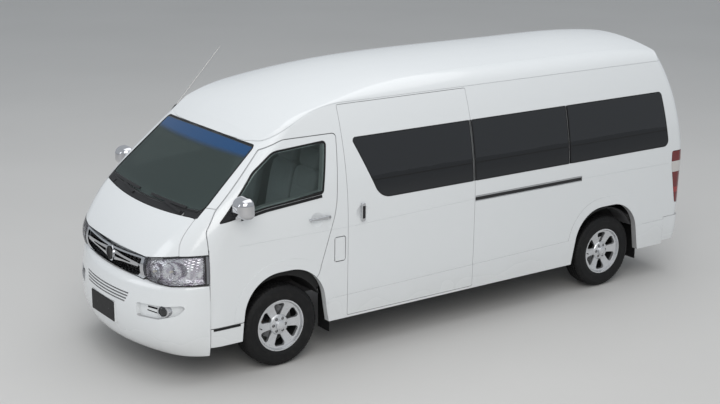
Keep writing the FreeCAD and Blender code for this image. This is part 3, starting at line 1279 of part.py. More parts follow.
def make_wipers():
    """Two parked wipers, lying on the glass above the cowl."""
    wipers = []
    for y, reach in ((-420, 560), (330, 520)):
        blade = ((y - reach / 2, 1352, 0), (y + reach / 2, 1352, 0),
                 (y + reach / 2, 1364, 0), (y - reach / 2, 1364, 0))
        arm = ((y - 20, 1356, 0), (y + 240, 1330, 0), (y + 240, 1316, 0), (y - 20, 1344, 0))
        strips = [largest(layer(-9, GLASS_INSET - 2 * SEAT).common(front_prism(outline, x_at(300), NOSE_X)))
                  for outline in (blade, arm)]
        pivot_y = y + 228
        cowl_x = COWL_FRONT_X - COWL_FRONT_RADIUS + math.sqrt(COWL_FRONT_RADIUS ** 2 - pivot_y ** 2)
        pivot_x = x_at(cowl_x - 32)
        pivot = rod((pivot_x, pivot_y, 1280), (pivot_x, pivot_y, 1326), 12)
        wipers.append(largest(fused(strips + [pivot.cut(shell(COWL_INSET - SEAT))])))
    return wipers


def make_antenna():
    """The whip on the right front pillar."""
    foot = Vector(x_at(62), -775, 1815)
    tip = Vector(x_at(-440), -800, 2325)
    whip = Part.makeCylinder(3, (tip - foot).Length, foot, tip - foot)
    return largest(whip.fuse(Part.makeCylinder(8, 60, foot, tip - foot)).cut(shell(-SEAT)))


def make_engine():
    """The engine with its gearbox, as one plain block."""
    low, high = RAIL_BASE_Z + 12, PLATFORM_Z - 40
    return box(x_at(-700), x_at(120), -ENGINE_HALF_WIDTH, ENGINE_HALF_WIDTH, low, high)


def make_exhaust():
    """The exhaust pipe with its silencer and a hanger."""
    points = [(x_at(-700) - SEAT, 180, 452), (x_at(-770), 180, 452), (x_at(-860), 180, 340),
              (x_at(-1900), 180, 330),
              (x_at(-2300), -250, 330), (x_at(-3040), -250, 330)]
    pipe = bent_tube(points, 24, 90)
    silencer = rod((x_at(-2500), -250, 330), (x_at(-3000), -250, 330), 78)
    hanger = box(x_at(-2710), x_at(-2690), -260, -240, 380, RAIL_BASE_Z + 20 - SEAT)
    return fused([pipe, silencer, hanger])


def make_fuel_tank():
    """The fuel tank between the axles on the left."""
    return box(x_at(-1750), x_at(-1000), RAIL_Y + RAIL_WIDTH / 2 + SEAT, 820, 300, FLOOR_Z - 45)


def make_spare_wheel():
    """The spare wheel slung flat below the rear floor."""
    x = TAIL_X + SPARE_BACK_X
    z = RAIL_BASE_Z + 20 - SEAT - SPARE_THICKNESS
    wheel = Part.makeCylinder(TYRE_RADIUS - 2, SPARE_THICKNESS, Vector(x, 0, z))
    return wheel.makeFillet(35, [e for e in wheel.Edges if e.Length > 500])


def make_mudflaps():
    """Flaps behind the four wheels."""
    flaps = []
    for x in (x_at(-472), REAR_AXLE_X - 452):
        for s in (1, -1):
            y0, y1 = sorted((s * 705, s * 868))
            flaps.append(box(x - 6, x, y0, y1, 185, FLOOR_Z - SEAT))
    return Part.makeCompound(flaps)


def make_plate(front):
    """A blank number plate, at the front or on the tailgate."""
    z = PLATE_Z if front else REAR_PLATE_Z
    x = NOSE_X - 4 + SEAT if front else rear_plate_x() - SEAT - 3
    plate = box(x, x + 3, -PLATE_WIDTH / 2, PLATE_WIDTH / 2, z - PLATE_HEIGHT / 2, z + PLATE_HEIGHT / 2)
    return plate.cut(plate_holes(x - 20, x + 20, z))


def rear_plate_x():
    """The flat floor of the tailgate's recess for the rear plate."""
    return TAIL_X + 24


def save(name, shape):
    """Write one piece to its file."""
    solids = shape.Solids
    if not solids or not all(s.isValid() for s in solids):
        print("check", name, "solids", len(solids))
    clean = solids[0] if len(solids) == 1 else Part.makeCompound(solids)
    clean.exportStep("parts/" + name + ".step")
    print(name, len(solids), round(clean.Volume / 1e6, 3))


def main():
    os.makedirs("parts", exist_ok=True)
    panels = Panels()
    save("roof_cap", make_roof(panels))
    left, right = make_sides(panels)
    save("body_side_left", left)
    save("body_side_right", right)
    door, handle = make_front_door(panels), make_handle()
    save("door_left", door)
    save("door_right", mirrored(door))
    save("handle_left", handle)
    save("handle_right", mirrored(handle))
    glass = window_glass(FRONT_DOOR_GLASS)
    save("door_window_left", glass)
    save("door_window_right", mirrored(glass))
    save("sliding_door", make_sliding_door(panels))
    save("sliding_handle", make_sliding_handle())
    save("slide_rail", make_slide_rail())
    panes = [window_glass(outline) for outline in (SLIDING_GLASS, MIDDLE_GLASS, REAR_GLASS)]
    save("side_windows", Part.makeCompound(panes + [mirrored(p) for p in panes]))
    save("cab_frame", make_cab_frame())
    save("bonnet", make_bonnet())
    save("front_fenders", both_sides(make_fender()))
    save("cowl", make_cowl())
    save("windscreen", make_windscreen())
    save("grille", make_grille())
    save("grille_mesh", make_grille_mesh())
    lens, housing = make_headlamp()
    save("headlamps", both_sides(housing))
    save("headlamp_lenses", both_sides(lens))
    save("front_bumper", make_front_bumper())
    save("fog_lamps", make_fog_lamps())
    save("rear_bumper", make_rear_bumper())
    save("tailgate", make_tailgate(panels))
    save("tailgate_window", make_tailgate_window())
    save("tail_lamps", make_tail_lamps())
    save("floor_pan", make_floor())
    save("chassis", make_chassis())
    for name, x, s in (("front_left", FRONT_AXLE_X, 1), ("front_right", FRONT_AXLE_X, -1),
                       ("rear_left", REAR_AXLE_X, 1), ("rear_right", REAR_AXLE_X, -1)):
        tyre, rim = make_tyre(x, WHEEL_Y), make_rim(x, WHEEL_Y)
        save("tyre_" + name, tyre if s > 0 else mirrored(tyre))
        save("rim_" + name, rim if s > 0 else mirrored(rim))
    knuckle = make_knuckle()
    save("knuckle_left", knuckle)
    save("knuckle_right", mirrored(knuckle))
    save("front_suspension", make_front_suspension())
    save("rear_axle", make_rear_axle())
    save("cab_seats", make_cab_seats())
    save("passenger_seats", make_passenger_seats())
    save("dashboard", make_dashboard())
    save("steering_wheel", make_steering_wheel())
    mirror = make_mirror()
    save("mirror_left", mirror)
    save("mirror_right", mirrored(mirror))
    save("engine", make_engine())
    save("exhaust", make_exhaust())
    save("fuel_tank", make_fuel_tank())
    save("spare_wheel", make_spare_wheel())
    save("fuel_flap", make_fuel_flap())
    save("wipers", Part.makeCompound(make_wipers()))
    save("antenna", make_antenna())
    save("mudflaps", make_mudflaps())
    save("plate_front", make_plate(True))
    save("plate_rear", make_plate(False))


if __name__ == "__main__":
    main()
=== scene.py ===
"""High-roof minibus: finishes for its panels, glass and running gear, and the trim that rides on them."""
import math

import bmesh
import bpy
from bpy.props import FloatProperty, FloatVectorProperty, IntProperty, PointerProperty
from bpy.types import Operator, Panel, PropertyGroup
from mathutils import Matrix, Vector
from mathutils.bvhtree import BVHTree


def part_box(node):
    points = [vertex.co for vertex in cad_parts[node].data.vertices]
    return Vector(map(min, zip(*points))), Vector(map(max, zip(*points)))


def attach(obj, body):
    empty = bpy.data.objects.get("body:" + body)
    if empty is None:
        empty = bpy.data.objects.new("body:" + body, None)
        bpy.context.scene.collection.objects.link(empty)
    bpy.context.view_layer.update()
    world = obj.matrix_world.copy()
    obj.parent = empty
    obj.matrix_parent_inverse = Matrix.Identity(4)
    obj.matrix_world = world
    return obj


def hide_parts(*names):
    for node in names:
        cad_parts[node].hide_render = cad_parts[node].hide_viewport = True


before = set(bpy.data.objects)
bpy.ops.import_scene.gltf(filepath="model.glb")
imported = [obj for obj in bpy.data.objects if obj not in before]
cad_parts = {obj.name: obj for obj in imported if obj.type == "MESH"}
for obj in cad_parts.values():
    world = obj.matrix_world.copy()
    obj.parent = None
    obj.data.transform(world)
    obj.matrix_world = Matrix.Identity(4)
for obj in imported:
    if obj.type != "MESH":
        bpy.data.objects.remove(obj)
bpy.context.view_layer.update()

bl_info = {
    "name": "Minibus finishes and trim",
    "version": (1, 0, 0),
    "blender": (4, 5, 0),
    "location": "View3D > Sidebar > Minibus",
    "description": "Dresses the minibus frame with paint, glass, tyres, seats and small trim",
    "category": "Add Mesh",
}

FRONT_AXLE = 1.715
REAR_AXLE = -1.845
TYRE_RADIUS = 0.342
WHEEL_Y = 0.8
WHEELS = (("front_left", FRONT_AXLE, 1), ("front_right", FRONT_AXLE, -1),
          ("rear_left", REAR_AXLE, 1), ("rear_right", REAR_AXLE, -1))
SIDES = (("left", 1), ("right", -1))

# Outlines, as across, up and corner radius; side ones are measured ahead of the front axle
DOOR_GLASS = ((0.568, 1.280, 0.008), (0.235, 1.634, 0.300), (0.040, 1.772, 0.160), (-0.462, 1.800, 0.034),
              (-0.388, 1.383, 0.040), (0.150, 1.343, 0.400))
SIDE_GLASSES = (
    ((-0.694, 1.789, 0.030), (-0.938, 1.268, 0.160), (-1.925, 1.268, 0.012), (-1.925, 1.789, 0.012)),
    ((-1.945, 1.789, 0.012), (-1.945, 1.268, 0.012), (-3.038, 1.268, 0.012), (-3.038, 1.789, 0.012)),
    ((-3.050, 1.789, 0.012), (-3.050, 1.268, 0.012), (-4.325, 1.268, 0.060), (-4.262, 1.789, 0.045)),
)
SCREEN = ((0.718, 1.806, 0.045), (0.790, 1.347, 0.060), (0.0, 1.318, 9.0), (-0.790, 1.347, 0.060),
          (-0.718, 1.806, 0.045), (0.0, 1.824, 15.0))
GATE_GLASS = ((0.655, 1.265, 0.060), (0.592, 1.880, 0.060), (-0.592, 1.880, 0.060), (-0.655, 1.265, 0.060))
MIRROR_GLASS = ((0.943, 1.348, 0.022), (1.093, 1.353, 0.030), (1.088, 1.469, 0.030), (0.957, 1.469, 0.026))
LAMP_BOWLS = ((0.632, 0.908), (0.762, 0.925))
# Slots in the fog lamps' recesses, as ends across and up, then width
FOG_SLOTS = (((0.565, 0.612), (0.680, 0.612), 0.014), ((0.560, 0.583), (0.676, 0.578), 0.008))
VALVE_RADIUS = 0.176
# The photo's camera: lens and sensor in mm, place in m, and yaw, pitch and roll in radians
CAMERA_LENS, CAMERA_SENSOR = 69.37, 36.0
CAMERA_PLACE = (7.20781, 9.78072, 4.25973)
CAMERA_TURN = (4.09929, 0.26998, 0.00664)
FOG_LAMP = (0.728, 0.606)
# Passenger rows: place ahead of the front axle, widths of the left and right seats, outer edge
SEAT_ROWS = ((-1.450, 0.44, 0.86, 0.84), (-2.250, 0.44, 0.86, 0.84), (-2.950, 0.44, 0.70, 0.84),
             (-3.950, 0.40, 0.62, 0.64))
CAB_SEAT = -0.380
CAB_FLOOR, SALOON_FLOOR = 0.8003, 0.6403


# Shader expressions

class Link:
    """One output of a material's node, on which sums are written as plain expressions."""

    def __init__(self, tree, socket):
        self.tree = tree
        self.socket = socket

    def node(self, kind, settings=None, values=(), output=0):
        """Any node: its settings first, then the values or links of its inputs."""
        made = self.tree.nodes.new(kind)
        for name, value in (settings or {}).items():
            setattr(made, name, value)
        pairs = values.items() if isinstance(values, dict) else enumerate(values)
        for key, value in pairs:
            if isinstance(value, Link):
                self.tree.links.new(value.socket, made.inputs[key])
            else:
                made.inputs[key].default_value = value
        return Link(self.tree, made.outputs[output] if made.outputs else None)

    def maths(self, operation, *values):
        return self.node("ShaderNodeMath", {"operation": operation}, values)

    def vector(self, operation, *values, output=0):
        return self.node("ShaderNodeVectorMath", {"operation": operation}, values, output)

    def __add__(self, other):
        return self.maths("ADD", self, other)

    def __radd__(self, other):
        return self.maths("ADD", other, self)

    def __sub__(self, other):
        return self.maths("SUBTRACT", self, other)

    def __rsub__(self, other):
        return self.maths("SUBTRACT", other, self)

    def __mul__(self, other):
        return self.maths("MULTIPLY", self, other)

    def __rmul__(self, other):
        return self.maths("MULTIPLY", other, self)

    def __abs__(self):
        return self.maths("ABSOLUTE", self)

    def squared(self):
        return self * self

    def root(self):
        return self.maths("SQRT", self)

    def sine(self):
        return self.maths("SINE", self)

    def fraction(self):
        return self.maths("FRACT", self)

    def smaller(self, other):
        return self.maths("MINIMUM", self, other)

    def larger(self, other):
        return self.maths("MAXIMUM", self, other)

    def ramp(self, low, high):
        """0 below the low value, 1 above the high one, with soft ends."""
        settings = {"interpolation_type": "SMOOTHSTEP"}
        return self.node("ShaderNodeMapRange", settings, {0: self, 1: low, 2: high})

    def within(self, low, high, soft=0.001):
        """1 between two values, 0 outside them."""
        return self.ramp(low - soft, low + soft) * (1 - self.ramp(high - soft, high + soft))

    def between(self, one, other):
        """A colour between two, by this mask; a colour is a link or three numbers."""
        one, other = (c if isinstance(c, Link) else (*c, 1.0) for c in (one, other))
        return self.node("ShaderNodeMix", {"data_type": "RGBA"}, {0: self, 6: one, 7: other}, 2)


class Finish:
    """A material with its coordinates and its usual textures and shaders."""

    def __init__(self, name):
        self.material = bpy.data.materials.new(name)
        self.material.use_nodes = True
        tree = self.material.node_tree
        tree.nodes.clear()
        self.root = Link(tree, None)
        self.place = self.root.node("ShaderNodeTexCoord", output="Object")
        self.facing_way = self.root.node("ShaderNodeTexCoord", output="Normal")
        self.x, self.y, self.z = (self.root.node("ShaderNodeSeparateXYZ", None, [self.place], i)
                                  for i in range(3))

    def noise(self, scale, detail=2.0, stretch=(1, 1, 1)):
        where = self.root.vector("MULTIPLY", self.place, stretch)
        return self.root.node("ShaderNodeTexNoise", None, {"Vector": where, "Scale": scale, "Detail": detail})

    def cells(self, scale):
        return self.root.node("ShaderNodeTexVoronoi", None, {"Vector": self.place, "Scale": scale})

    def bump(self, height, strength, distance):
        values = {"Height": height, "Strength": strength, "Distance": distance}
        return self.root.node("ShaderNodeBump", None, values)

    def edge_on(self, blend):
        """Little where a surface is seen face on, much where it is seen along."""
        return self.root.node("ShaderNodeLayerWeight", None, {"Blend": blend}, "Fresnel")

    def outward(self):
        """1 on faces that look out of the body, 0 on those that look into it."""
        place = self.root.vector("MULTIPLY_ADD", self.place, (0.351, 1.064, 0.909), (0.0, 0.0, -1.091))
        square = self.root.vector("MULTIPLY", place, place)
        slope = self.root.vector("MULTIPLY", self.root.vector("MULTIPLY", square, square), place)
        return self.root.vector("DOT_PRODUCT", slope, self.facing_way, output="Value").ramp(-0.006, 0.002)

    def shader(self, **values):
        """The main shader; underscores in the names stand for spaces."""
        named = {name.replace("_", " "): value for name, value in values.items()}
        return self.root.node("ShaderNodeBsdfPrincipled", None, named)

    def solid(self, **values):
        """The material of one main shader."""
        return self.done(self.shader(**values))

    def sheet(self, tint, share, skin):
        """A clear sheet of one tint under a glossy skin, by the skin's share."""
        through = self.root.node("ShaderNodeBsdfTransparent", None, {"Color": (*tint, 1.0)})
        return self.done(self.root.node("ShaderNodeMixShader", None, (share.smaller(1.0), through, skin)))

    def done(self, shader):
        self.root.node("ShaderNodeOutputMaterial", None, [shader])
        return self.material


finishes = {}


def finish(name):
    """The named material, made once."""
    if name not in finishes:
        finishes[name] = FINISHES[name](Finish(name))
    return finishes[name]


def body_paint(f):
    """Gloss white paint outside with a fine peel and a little road film low down; grey trim inside."""
    out = f.outward()
    film = (1 - f.z.ramp(0.26, 0.60)) * f.noise(2.5, 2) * 0.25
    paint = film.between(tuple(bpy.context.scene.minibus_paint.paint), (0.50, 0.48, 0.44))
    trim = f.noise(30, 4).between((0.38, 0.38, 0.385), (0.44, 0.44, 0.445))
    rough = 0.5 + f.noise(3, 1) * 0.1 - out * (0.32 - film * 0.5)
    peel = f.bump(f.noise(14, 1), 0.03, 0.0006)
    return f.solid(Base_Color=out.between(trim, paint), Roughness=rough, Normal=peel, Coat_Weight=out * 0.6,
                   Coat_Roughness=0.03)


def chassis_paint(f):
    """Black underbody paint with dust in its grain."""
    dust = f.noise(12, 6).ramp(0.45, 0.8)
    tint = dust.between((0.018, 0.018, 0.02), (0.06, 0.055, 0.05))
    return f.solid(Base_Color=tint, Roughness=0.5 + dust * 0.3, Normal=f.bump(f.noise(190, 4), 0.25, 0.001))


def glazing(f, tint, mask, least, border=(0.006, 0.006, 0.007), skin=(0.012, 0.015, 0.016)):
    """Glass that lets light through, with an opaque printed border where the mask is 1."""
    smear = f.noise(2.2, 3).ramp(0.4, 0.8)
    gloss = f.shader(Base_Color=mask.between(skin, border), Roughness=0.015 + smear * 0.03 + mask * 0.05,
                     Coat_Weight=0.3)
    return f.sheet(tint, (f.edge_on(0.22) * 0.85 + least).larger(mask), gloss)


def screen_glass(f):
    """The windscreen: a dark printed border, and a blue shade band along its top."""
    side = 0.718 + (1.806 - f.z) * 0.157 - abs(f.y)
    low = f.z - 1.320 - (f.y * 1.266).squared() * 0.029
    edge = side.smaller(low).smaller(1.8225 - f.y.squared() * 0.034 - f.z)
    border = 1 - edge.ramp(0.014, 0.022)
    band = f.z.ramp(1.700, 1.745)
    tint = (band * (1 - border)).between((0.10, 0.12, 0.12), (0.012, 0.085, 0.24))
    tint = border.between(tint, (0.006, 0.006, 0.007))
    gloss = f.shader(Base_Color=tint, Roughness=0.015 + f.noise(2.2, 3) * 0.02, Coat_Weight=0.3)
    return f.sheet((0.86, 0.91, 0.89), (f.edge_on(0.25) * 0.85 + 0.10 + band * 0.5).larger(border), gloss)


def door_glass(f):
    """Front door glass with its black run, and the fixed black corner at its front."""
    x = f.x - FRONT_AXLE
    corner = (x - 0.417 + (f.z - 1.470) * 0.05).ramp(-0.002, 0.002)
    top = 1.790 - (x.larger(-0.1) + 0.1) * 0.10 - f.z
    rail = f.z - 1.395 + (x + 0.385).larger(0.0) * 0.112
    slant = 1.792 - (x - 0.030).larger(0.0) * 0.775 - f.z
    back = x + 0.465 - (1.790 - f.z) * 0.19
    edge = top.smaller(rail).smaller(slant).smaller(back)
    border = corner.larger(1 - edge.ramp(0.012, 0.018))
    return glazing(f, (0.84, 0.89, 0.88), border, 0.16, skin=(0.085, 0.105, 0.10))


def dark_glass(f):
    """Dark side glass, nearly closed to the eye, with the rail of the sliding panes low across it."""
    rail = f.z.within(1.420, 1.430)
    return glazing(f, (0.10, 0.11, 0.12), rail * 0.98, 0.80, (0.004, 0.004, 0.004), (0.018, 0.020, 0.023))


def rear_glass(f):
    """Dark tailgate glass with fine heater lines and a printed border."""
    lines = 1 - abs((f.z * 30).fraction() - 0.5).ramp(0.02, 0.04)
    inside = 1 - abs(f.y).ramp(0.535, 0.54)
    edge = (0.652 - (f.z - 1.265) * 0.102 - abs(f.y)).smaller(f.z - 1.267).smaller(1.878 - f.z)
    border = 1 - edge.ramp(0.028, 0.034)
    return glazing(f, (0.12, 0.13, 0.13), (lines * inside * 0.8).larger(border), 0.78, (0.012, 0.008, 0.006))


def clear_lens(f):
    """The headlamp's clear cover, with its black gasket line and the grey strip at its rear end."""
    across = abs(f.y)
    top = (0.994 + (across - 0.54) * 0.2).smaller(1.046 + (across - 0.80) * 0.09) - f.z
    low = f.z - (0.820 - (across - 0.552) * 0.058).larger(0.808 + (across - 0.76) * 0.092)
    edge = top.smaller(low).smaller(across - 0.546)
    back = f.x - 2.376
    border = (1 - edge.ramp(0.009, 0.012)).larger(1 - back.ramp(0.030, 0.033))
    strip = back.within(0.003, 0.022) * edge.ramp(0.006, 0.008)
    tint = border.between((0.06, 0.06, 0.065), strip.between((0.008, 0.008, 0.009), (0.16, 0.165, 0.18)))
    gloss = f.shader(Base_Color=tint, Roughness=0.02 + f.noise(12, 2) * 0.02, Coat_Weight=0.4)
    return f.sheet((0.98, 0.985, 0.99), (f.edge_on(0.25) * 0.6 + 0.03).larger(border), gloss)


def reflector(f):
    """Vacuum-plated reflectors with upright flutes towards the side."""
    flutes = (f.z * 300).sine() * (f.y * 190).sine() * 0.5 + 0.5
    haze = f.noise(26, 2).ramp(0.35, 0.65)
    tint = haze.between((0.62, 0.58, 0.64), (0.97, 0.97, 0.99))
    return f.solid(Base_Color=tint, Metallic=0.75, Roughness=0.14 + haze * 0.10,
                   Normal=f.bump(flutes, 0.55, 0.004))


def chrome(f):
    """Bright plated metal."""
    haze = f.noise(14, 4)
    tint = haze.between((0.54, 0.55, 0.57), (0.64, 0.65, 0.67))
    return f.solid(Base_Color=tint, Metallic=1.0, Roughness=0.05 + haze * 0.05)


def mirror_shell(f):
    """Plated mirror housing on a black foot."""
    haze = f.noise(14, 4)
    plated = abs(f.y).ramp(0.926, 0.928)
    tint = plated.between((0.012, 0.012, 0.013), haze.between((0.58, 0.58, 0.60), (0.68, 0.68, 0.70)))
    return f.solid(Base_Color=tint, Metallic=plated, Roughness=0.45 - plated * 0.40 + haze * 0.05)


def mirror_glass(f):
    """Silvered glass with a faint haze."""
    haze = f.noise(6, 3)
    return f.solid(Base_Color=haze.between((0.62, 0.66, 0.68), (0.68, 0.72, 0.74)), Metallic=1.0,
                   Roughness=0.01 + haze * 0.02)


def fog_glass(f):
    """Round fog lamp: a plated ring round a dark dish."""
    radius = ((abs(f.y) - FOG_LAMP[0]).squared() + (f.z - FOG_LAMP[1]).squared()).root()
    ring = radius.ramp(0.037, 0.039)
    rings = (radius * 900).sine() * 0.5 + 0.5
    tint = ring.between((0.03, 0.032, 0.036), (0.76, 0.76, 0.78))
    return f.solid(Base_Color=tint, Metallic=ring * 0.5 + 0.5, Roughness=0.12 + f.noise(40, 2) * 0.06,
                   Normal=f.bump(rings * (1 - ring), 0.3, 0.002))


def fog_lens(f):
    """Dark fog lamp lens with a painted highlight in its middle, brighter where it is seen face on."""
    # Painted highlight: the lens turns lighter where it is seen face on.
    painted_facing_light = (1 - f.edge_on(0.4)).ramp(0.93, 0.99)
    tint = painted_facing_light.between((0.015, 0.016, 0.018), (0.20, 0.20, 0.20))
    return f.solid(Base_Color=tint, Roughness=0.06 + f.noise(60, 2) * 0.04, Coat_Weight=0.5)


def alloy(f):
    """Silver painted cast wheel, darkened between and behind its spokes by painted shade."""
    haze = f.noise(30, 4)
    # Painted shade: the colour turns near-black deeper in than the wheel's front face, where shade falls
    # behind the spokes.
    depth = (abs(f.y) - WHEEL_Y).ramp(0.020, 0.052)
    tint = haze.between((0.64, 0.65, 0.67), (0.74, 0.75, 0.77))
    tint = depth.between((0.05, 0.05, 0.052), tint)
    return f.solid(Base_Color=tint, Metallic=0.75, Roughness=0.50 - depth * 0.26 + haze * 0.10,
                   Normal=f.bump(f.noise(600, 2), 0.06, 0.0005))


def alloy_cap(f):
    """Silver painted centre cap."""
    haze = f.noise(30, 4)
    tint = haze.between((0.66, 0.67, 0.69), (0.76, 0.77, 0.79))
    return f.solid(Base_Color=tint, Metallic=0.75, Roughness=0.24 + haze * 0.08)


def steel(f):
    """Bare machined steel with light rust in its pores."""
    rust = f.noise(22, 6).ramp(0.55, 0.75)
    tint = rust.between((0.30, 0.30, 0.31), (0.16, 0.09, 0.05))
    return f.solid(Base_Color=tint, Metallic=1 - rust * 0.7, Roughness=0.38 + rust * 0.4,
                   Normal=f.bump(f.noise(240, 4), 0.25, 0.0008))


def cast(f):
    """Rough cast iron."""
    grain = f.noise(160, 5)
    tint = grain.between((0.035, 0.034, 0.033), (0.075, 0.07, 0.065))
    return f.solid(Base_Color=tint, Metallic=0.5, Roughness=0.62 + grain * 0.2,
                   Normal=f.bump(grain, 0.5, 0.0015))


def tyre_rubber(f):
    """Tyre rubber, dusty in its grain."""
    dust = f.noise(26, 5).ramp(0.5, 0.85)
    tint = dust.between((0.006, 0.006, 0.0065), (0.020, 0.019, 0.018))
    return f.solid(Base_Color=tint, Roughness=0.60 + dust * 0.2, Normal=f.bump(f.noise(340, 4), 0.35, 0.0008),
                   Specular_IOR_Level=0.3)


def antenna_metal(f):
    """Pale steel whip above a black foot."""
    whip = f.z.ramp(1.866, 1.869)
    tint = whip.between((0.012, 0.012, 0.013), f.noise(30, 2).between((0.50, 0.49, 0.47), (0.58, 0.57, 0.55)))
    return f.solid(Base_Color=tint, Metallic=whip * 0.6, Roughness=0.4 - whip * 0.15)


def rail_metal(f):
    """Slide rail: a grey upper edge over near-black painted shade standing for its groove."""
    upper = f.z.ramp(1.123, 1.126)
    grey = f.noise(30, 3).between((0.40, 0.41, 0.42), (0.48, 0.49, 0.50))
    # Painted shade: below its grey edge the rail is near-black, standing for the shade in its groove.
    tint = upper.between((0.010, 0.010, 0.011), grey)
    return f.solid(Base_Color=tint, Metallic=upper * 0.4, Roughness=0.4 + f.noise(40, 2) * 0.1)


def soft_rubber(f):
    """Black rubber of flaps, seals and blades; also the near-black discs of painted shade in the wheel nuts'
    pockets.
    """
    tint = f.noise(40, 4).between((0.005, 0.005, 0.006), (0.014, 0.014, 0.014))
    return f.solid(Base_Color=tint, Roughness=0.5 + f.noise(70, 3) * 0.2, Specular_IOR_Level=0.3,
                   Normal=f.bump(f.noise(300, 3), 0.2, 0.0006))


def dark_plastic(f):
    """Grained black plastic of the cowl, dashboard and covers."""
    tint = f.noise(24, 3).between((0.012, 0.012, 0.013), (0.022, 0.022, 0.024))
    return f.solid(Base_Color=tint, Roughness=0.48 + f.noise(50, 3) * 0.12, Specular_IOR_Level=0.3,
                   Normal=f.bump(f.cells(700), 0.25, 0.0005))


def gloss_black(f):
    """Smooth black moulding."""
    tint = f.noise(16, 3).between((0.004, 0.004, 0.005), (0.008, 0.008, 0.009))
    return f.solid(Base_Color=tint, Roughness=0.20 + f.noise(20, 3) * 0.10, Specular_IOR_Level=0.12)


def tank_plastic(f):
    """Moulded tank and undertray plastic."""
    tint = f.noise(15, 4).between((0.03, 0.03, 0.03), (0.05, 0.048, 0.045))
    return f.solid(Base_Color=tint, Roughness=0.55 + f.noise(30, 3) * 0.1,
                   Normal=f.bump(f.noise(90, 4), 0.3, 0.001))


def seat_cloth(f):
    """Grey woven seat cloth with a fleck."""
    across = (f.y * 1300).sine()
    along = ((f.x + f.z) * 1300).sine()
    weave = across * along * 0.5 + 0.5
    fleck = f.noise(220, 3)
    darker = tuple(bpy.context.scene.minibus_seats.cloth)
    tint = (weave * 0.5 + fleck * 0.5).between(darker, (0.46, 0.47, 0.49))
    return f.solid(Base_Color=tint, Roughness=0.82 + fleck * 0.1, Normal=f.bump(weave, 0.35, 0.0008),
                   Sheen_Weight=0.3)


def floor_cover(f):
    """Grey flecked floor covering inside, and black underseal beneath."""
    out = f.outward()
    fleck = f.noise(150, 4)
    tint = out.between(fleck.between((0.09, 0.09, 0.095), (0.15, 0.15, 0.155)), (0.012, 0.012, 0.012))
    return f.solid(Base_Color=tint, Roughness=0.75 + fleck * 0.1, Normal=f.bump(fleck, 0.3, 0.001))


def red_lens(f):
    """Ribbed red lens with a clear block for the turn and reversing lamps."""
    clear = f.z.within(1.005, 1.110)
    ribs = (f.z * 520).sine()
    tint = clear.between((0.15, 0.003, 0.005), (0.62, 0.60, 0.58))
    # A lighter red band low on the lens, from z 0.800 to 0.850.
    tint = f.z.within(0.800, 0.850).between(tint, (0.32, 0.015, 0.015))
    return f.solid(Base_Color=tint, Roughness=0.08 + f.noise(30, 2) * 0.03, Coat_Weight=0.8,
                   Normal=f.bump(ribs, 0.15, 0.0008))


def bulb_glass(f):
    """Bulb and lamp glass with a painted warm glow where it is seen face on."""
    # Painted glow: the glass turns warm and light where it is seen face on, though no lamp is lit.
    painted_facing_light = 1 - f.edge_on(0.5)
    tint = painted_facing_light.between((0.55, 0.57, 0.60), (0.85, 0.80, 0.70))
    return f.solid(Base_Color=tint, Roughness=0.05 + f.noise(60, 2) * 0.04, Coat_Weight=0.5)


def pale_floor(f):
    """Pale studio floor with a faint cloud."""
    cloud = f.noise(0.35, 4)
    tint = cloud.between((0.56, 0.55, 0.535), (0.62, 0.61, 0.595))
    return f.solid(Base_Color=tint, Roughness=0.62 + cloud * 0.1, Normal=f.bump(f.noise(60, 3), 0.05, 0.002))


FINISHES = {make.__name__: make for make in (
    body_paint, chassis_paint, screen_glass, door_glass, dark_glass, rear_glass, clear_lens, reflector,
    chrome, mirror_shell, mirror_glass, fog_glass, fog_lens, alloy, alloy_cap, steel, cast, tyre_rubber,
    antenna_metal, rail_metal, soft_rubber, dark_plastic, gloss_black, tank_plastic, seat_cloth, floor_cover,
    red_lens, bulb_glass, pale_floor)}

NODE_FINISH = {
    "screen_glass": ("windscreen",),
    "door_glass": ("door_window_left", "door_window_right"),
    "dark_glass": ("side_windows",),
    "rear_glass": ("tailgate_window",),
    "clear_lens": ("headlamp_lenses",),
    "reflector": ("headlamps",),
    "fog_glass": ("fog_lamps",),
    "red_lens": ("tail_lamps",),
    "chrome": ("grille", "handle_left", "handle_right", "sliding_handle"),
    "mirror_shell": ("mirror_left", "mirror_right"),
    "floor_cover": ("floor_pan",),
    "chassis_paint": ("chassis", "front_suspension"),
    "cast": ("rear_axle", "engine"),
    "steel": ("exhaust", "knuckle_left", "knuckle_right"),
    "tank_plastic": ("fuel_tank",),
    "tyre_rubber": ("spare_wheel", "tyre_front_left", "tyre_front_right", "tyre_rear_left",
                    "tyre_rear_right"),
    "alloy": ("rim_front_left", "rim_front_right", "rim_rear_left", "rim_rear_right"),
    "soft_rubber": ("mudflaps",),
    "antenna_metal": ("antenna",),
    "rail_metal": ("slide_rail",),
    "dark_plastic": ("wipers", "dashboard", "steering_wheel", "cowl"),
    "gloss_black": ("grille_mesh", "plate_front", "plate_rear"),
    "seat_cloth": ("cab_seats", "passenger_seats"),
}

# The slot named for a piece of each finish, unless the piece names its own; it is looked up but not kept
SLOTS = {
    "body_paint": "white_paint", "chassis_paint": "black_metal", "tyre_rubber": "tyre", "alloy_cap": "alloy",
    "steel": "steel", "chrome": "chrome", "mirror_glass": "chrome", "bulb_glass": "lamp_clear",
    "fog_lens": "lamp_clear", "red_lens": "lamp_red", "soft_rubber": "rubber", "dark_plastic": "plastic_dark",
    "gloss_black": "plastic_black", "seat_cloth": "seat_fabric",
}


# Mesh building

def joined(parts):
    """Several lists of points and faces as one."""
    points, faces = [], []
    for more_points, more_faces in parts:
        start = len(points)
        points += more_points
        faces += [tuple(start + i for i in face) for face in more_faces]
    return points, faces


